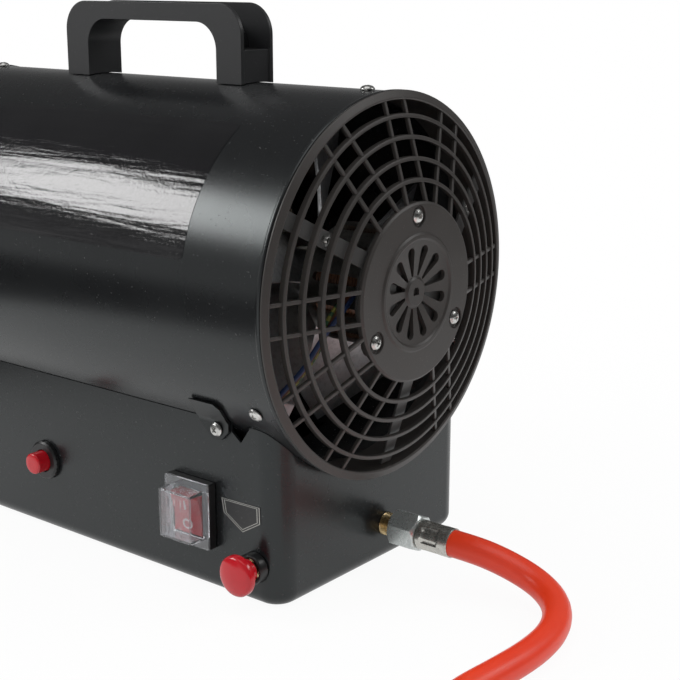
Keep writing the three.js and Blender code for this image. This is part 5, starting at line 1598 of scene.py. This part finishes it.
class HEATER_OT_switch(bpy.types.Operator):
    """Builds the rocker switch, its frame and the clear splash cover."""

    bl_idname = "heater.switch"
    bl_label = "Switch"

    def execute(self, context):
        x, pivot, z = SWITCH_AT
        refined("switch_frame", "switch_body", "black", edge=0.5, segments=3)
        self.rocker(x, pivot, z)
        self.cover(x, z)
        return {"FINISHED"}

    def rocker(self, x, pivot, z):
        half = 11
        front = []
        for k in range(13):
            h = half - 2 * half * k / 12
            front.append((-9.5 + 1.4 * (1 - (h / half) ** 2), h))
        outline = front + [(-2, -half), (3, -5.5), (3, 5.5), (-2, half)]
        place = Matrix.Translation((x, pivot, z)) @ Matrix.Rotation(math.radians(8), 4, "X")
        rocker = build("rocker", moved(prism(outline, "YZ", -9.7, 9.7), place))
        round_edges(rocker, 0.6, 3, 50)
        carve(rocker, facing(cylinder(-11.6, 11.6, 1.5, 24), (x, pivot, z), (1, 0, 0)), "UNION")
        dress(rocker, FINISHES["rocker"], "switch_paddle", ("switch_paddle",))
        on = block((-0.45, -8.95, 2.8), (0.45, -8.4, 8.2))
        ring = facing(lathe([(0, 2.0), (0, 2.9), (0.55, 2.9), (0.55, 2.0)], 40), (0, -8.4, -5.6), (0, -1, 0))
        marks = build("switch_marks", moved(together(on, ring), place))
        dress(marks, FINISHES["mark"], "switch_paddle")

    def cover(self, x, z):
        """The clear cover: a flange, a hollow dome and six ribs on its front."""

        def around_switch(width, height, corner):
            w, h = width / 2, height / 2
            return oblong((x - w, z - h), (x + w, z + h), corner, 5)

        def tapered(levels):
            """A body through levels of (depth, width, height, corner)."""
            return skin([[(a, back - depth, b) for a, b in around_switch(*size)] for depth, *size in levels])

        back = BEZEL_FRONT - 0.3
        cover = build("splash_cover", prism(around_switch(31.4, 36.6, 1.2), "XZ", back - 1, back))
        carve(cover, tapered([(0, 24.0, 28.0, 1.2), (9.6, 23.2, 27.2, 1.0), (10, 22.6, 26.6, 0.8)]), "UNION")
        carve(cover, tapered([(-1, 21.6, 25.6, 0.9), (8.6, 20.8, 24.8, 0.7), (8.8, 20.4, 24.4, 0.6)]))
        ribs = []
        for row in (-1, 1):
            low, high = sorted((z + row * 4.8, z + row * 10.4))
            for k in (-1, 0, 1):
                middle = x + k * 4.6
                ribs.append(block((middle - 0.45, back - 10.35, low), (middle + 0.45, back - 9.7, high)))
        carve(cover, together(*ribs), "UNION")
        dress(cover, FINISHES["clear"], stands_for=("switch_cover",), crease=30)


class HEATER_OT_gas_button(bpy.types.Operator):
    """Turns the mushroom button of the gas valve, its nut, stem and body."""

    bl_idname = "heater.gas_button"
    bl_label = "Gas button"

    def execute(self, context):
        x, z = VALVE_AT
        radius = 11.0
        profile = []
        for k in range(17):
            r = radius * k / 16
            profile.append((3.0 * (1 - math.sqrt(max(0, 1 - (r / radius) ** 2))) ** 0.9, r))
        profile += [(5.6, radius), (6.2, 10.6), (6.5, 9.9), (6.5, 6.9), (6.9, 6.4), (12.4, 6.3)]
        profile += [(12.5, 6.2), (12.5, 2.8), (5.6, 2.8), (5.6, 0)]
        shape = lathe([(-a, r) for a, r in profile], 96)
        button = build("mushroom_button", facing(shape, (x, -99.5, z), (0, -1, 0)))
        dress(button, FINISHES["red"], "gas_button", ("valve_button",), 40)
        refined("button_stem", "valve_stem", "zinc", "gas_button", crease=40)
        refined("panel_ring", "valve_nut", "black", edge=0.3, crease=30)
        refined("valve_block", "gas_valve", "brass", edge=0.3, crease=30)
        return {"FINISHED"}


class HEATER_OT_igniter(bpy.types.Operator):
    """Turns the igniter's collar and its push button."""

    bl_idname = "heater.igniter"
    bl_label = "Igniter"

    def execute(self, context):
        x, z = IGNITER_AT
        _, high = (Vector(p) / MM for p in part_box("igniter_body"))
        back = high.y + SIDE_Y
        collar = [(12.2, 0), (12.2, 6.6), (-3.3, 6.6, 0.4), (-3.3, 10.4, 0.6), (-2.2, 11.5, 0.5)]
        collar += [(-0.3, 11.5), (-0.3, 8.6), (back, 8.6), (back, 0)]
        shape = lathe([(-a, r) for a, r in bend_corners(collar, closed=False, steps=4)], 72)
        body = build("igniter_collar", facing(shape, (x, -SIDE_Y, z), (0, -1, 0)))
        groove = cylinder(0.9, 4.2, 0.45, 8)
        grips = [facing(groove, (x + a, -SIDE_Y, z + b), (0, -1, 0)) for a, b in circle(24, 11.6)]
        carve(body, together(*grips))
        dress(body, FINISHES["black"], stands_for=("igniter_body",), crease=35)
        cap = turned([(11.3, 0), (11.25, 3.6, 1.5), (10.9, 6.2, 1.2), (-6, 6.2), (-6, 0)], 72, 6)
        button = build("igniter_cap", facing(cap, (x, -SIDE_Y, z), (0, -1, 0)))
        dress(button, FINISHES["red"], "igniter_button", ("igniter_button",), 35)
        return {"FINISHED"}


class HEATER_OT_gland(bpy.types.Operator):
    """Moulds the mains entry's cable gland with its gripping ribs."""

    bl_idname = "heater.gland"
    bl_label = "Cable gland"

    def execute(self, context):
        x, z = GLAND_AT
        profile = [(-6.5, 3.6), (-6.5, 9.5, 0.5), (-1.8, 9.5, 0.5), (-1.8, 7.2), (0.3, 7.2), (0.3, 9.5, 0.4)]
        profile += [(8.2, 9.5, 1.6), (13.6, 6.3, 1.0), (14.3, 5.9, 0.5), (14.3, 3.6, 0.4)]
        shape = lathe(bend_corners(profile, steps=4), 72)
        gland = build("mains_gland", facing(shape, (x, SIDE_Y, z), (0, 1, 0)))
        groove = tube([(0, 1.6, 0), (0, 7.2, 0)], 0.75, 10)
        carve(gland, together(*[shifted(groove, x + a, SIDE_Y, z + b) for a, b in circle(16, 9.75)]))
        dress(gland, FINISHES["black"], stands_for=("cable_gland",), crease=35)
        return {"FINISHED"}


# ---------------------------------------------------------------- panel and order

PIECES = (
    HEATER_OT_stage,
    HEATER_OT_hose,
    HEATER_OT_gas_inlet,
    HEATER_OT_drum,
    HEATER_OT_label,
    HEATER_OT_grille,
    HEATER_OT_screws,
    HEATER_OT_motor,
    HEATER_OT_fan,
    HEATER_OT_burner,
    HEATER_OT_handle,
    HEATER_OT_base,
    HEATER_OT_lugs,
    HEATER_OT_badge,
    HEATER_OT_switch,
    HEATER_OT_gas_button,
    HEATER_OT_igniter,
    HEATER_OT_gland,
)

GROUPS = {
    "heater_studio": ("Studio", HeaterStudio),
    "heater_drum": ("Drum", HeaterDrum),
    "heater_plastic": ("Plastic", HeaterPlastic),
    "heater_gas_line": ("Gas line", HeaterGasLine),
    "heater_fan": ("Fan", HeaterFan),
}


class HEATER_PT_pieces(bpy.types.Panel):
    """The heater's sizes, colours and pieces."""

    bl_label = "Forced air heater"
    bl_idname = "HEATER_PT_pieces"
    bl_space_type = "VIEW_3D"
    bl_region_type = "UI"
    bl_category = "Heater"

    def draw(self, context):
        for group, (title, _) in GROUPS.items():
            box = self.layout.box()
            box.label(text=title)
            values = getattr(context.scene, group)
            for key in values.bl_rna.properties.keys():
                if key not in ("rna_type", "name"):
                    box.prop(values, key)
        column = self.layout.column(align=True)
        for piece in PIECES:
            column.operator(piece.bl_idname)


def register():
    for group, (_, kind) in GROUPS.items():
        bpy.utils.register_class(kind)
        setattr(bpy.types.Scene, group, PointerProperty(type=kind))
    for kind in (*PIECES, HEATER_PT_pieces):
        bpy.utils.register_class(kind)


def unregister():
    for kind in reversed((*PIECES, HEATER_PT_pieces)):
        bpy.utils.unregister_class(kind)
    for group, (_, kind) in reversed(GROUPS.items()):
        delattr(bpy.types.Scene, group)
        bpy.utils.unregister_class(kind)


def main():
    register()
    FINISHES.update(make_finishes(bpy.context.scene))
    for piece in PIECES:
        group, name = piece.bl_idname.split(".")
        getattr(getattr(bpy.ops, group), name)()


if __name__ == "__main__":
    main()
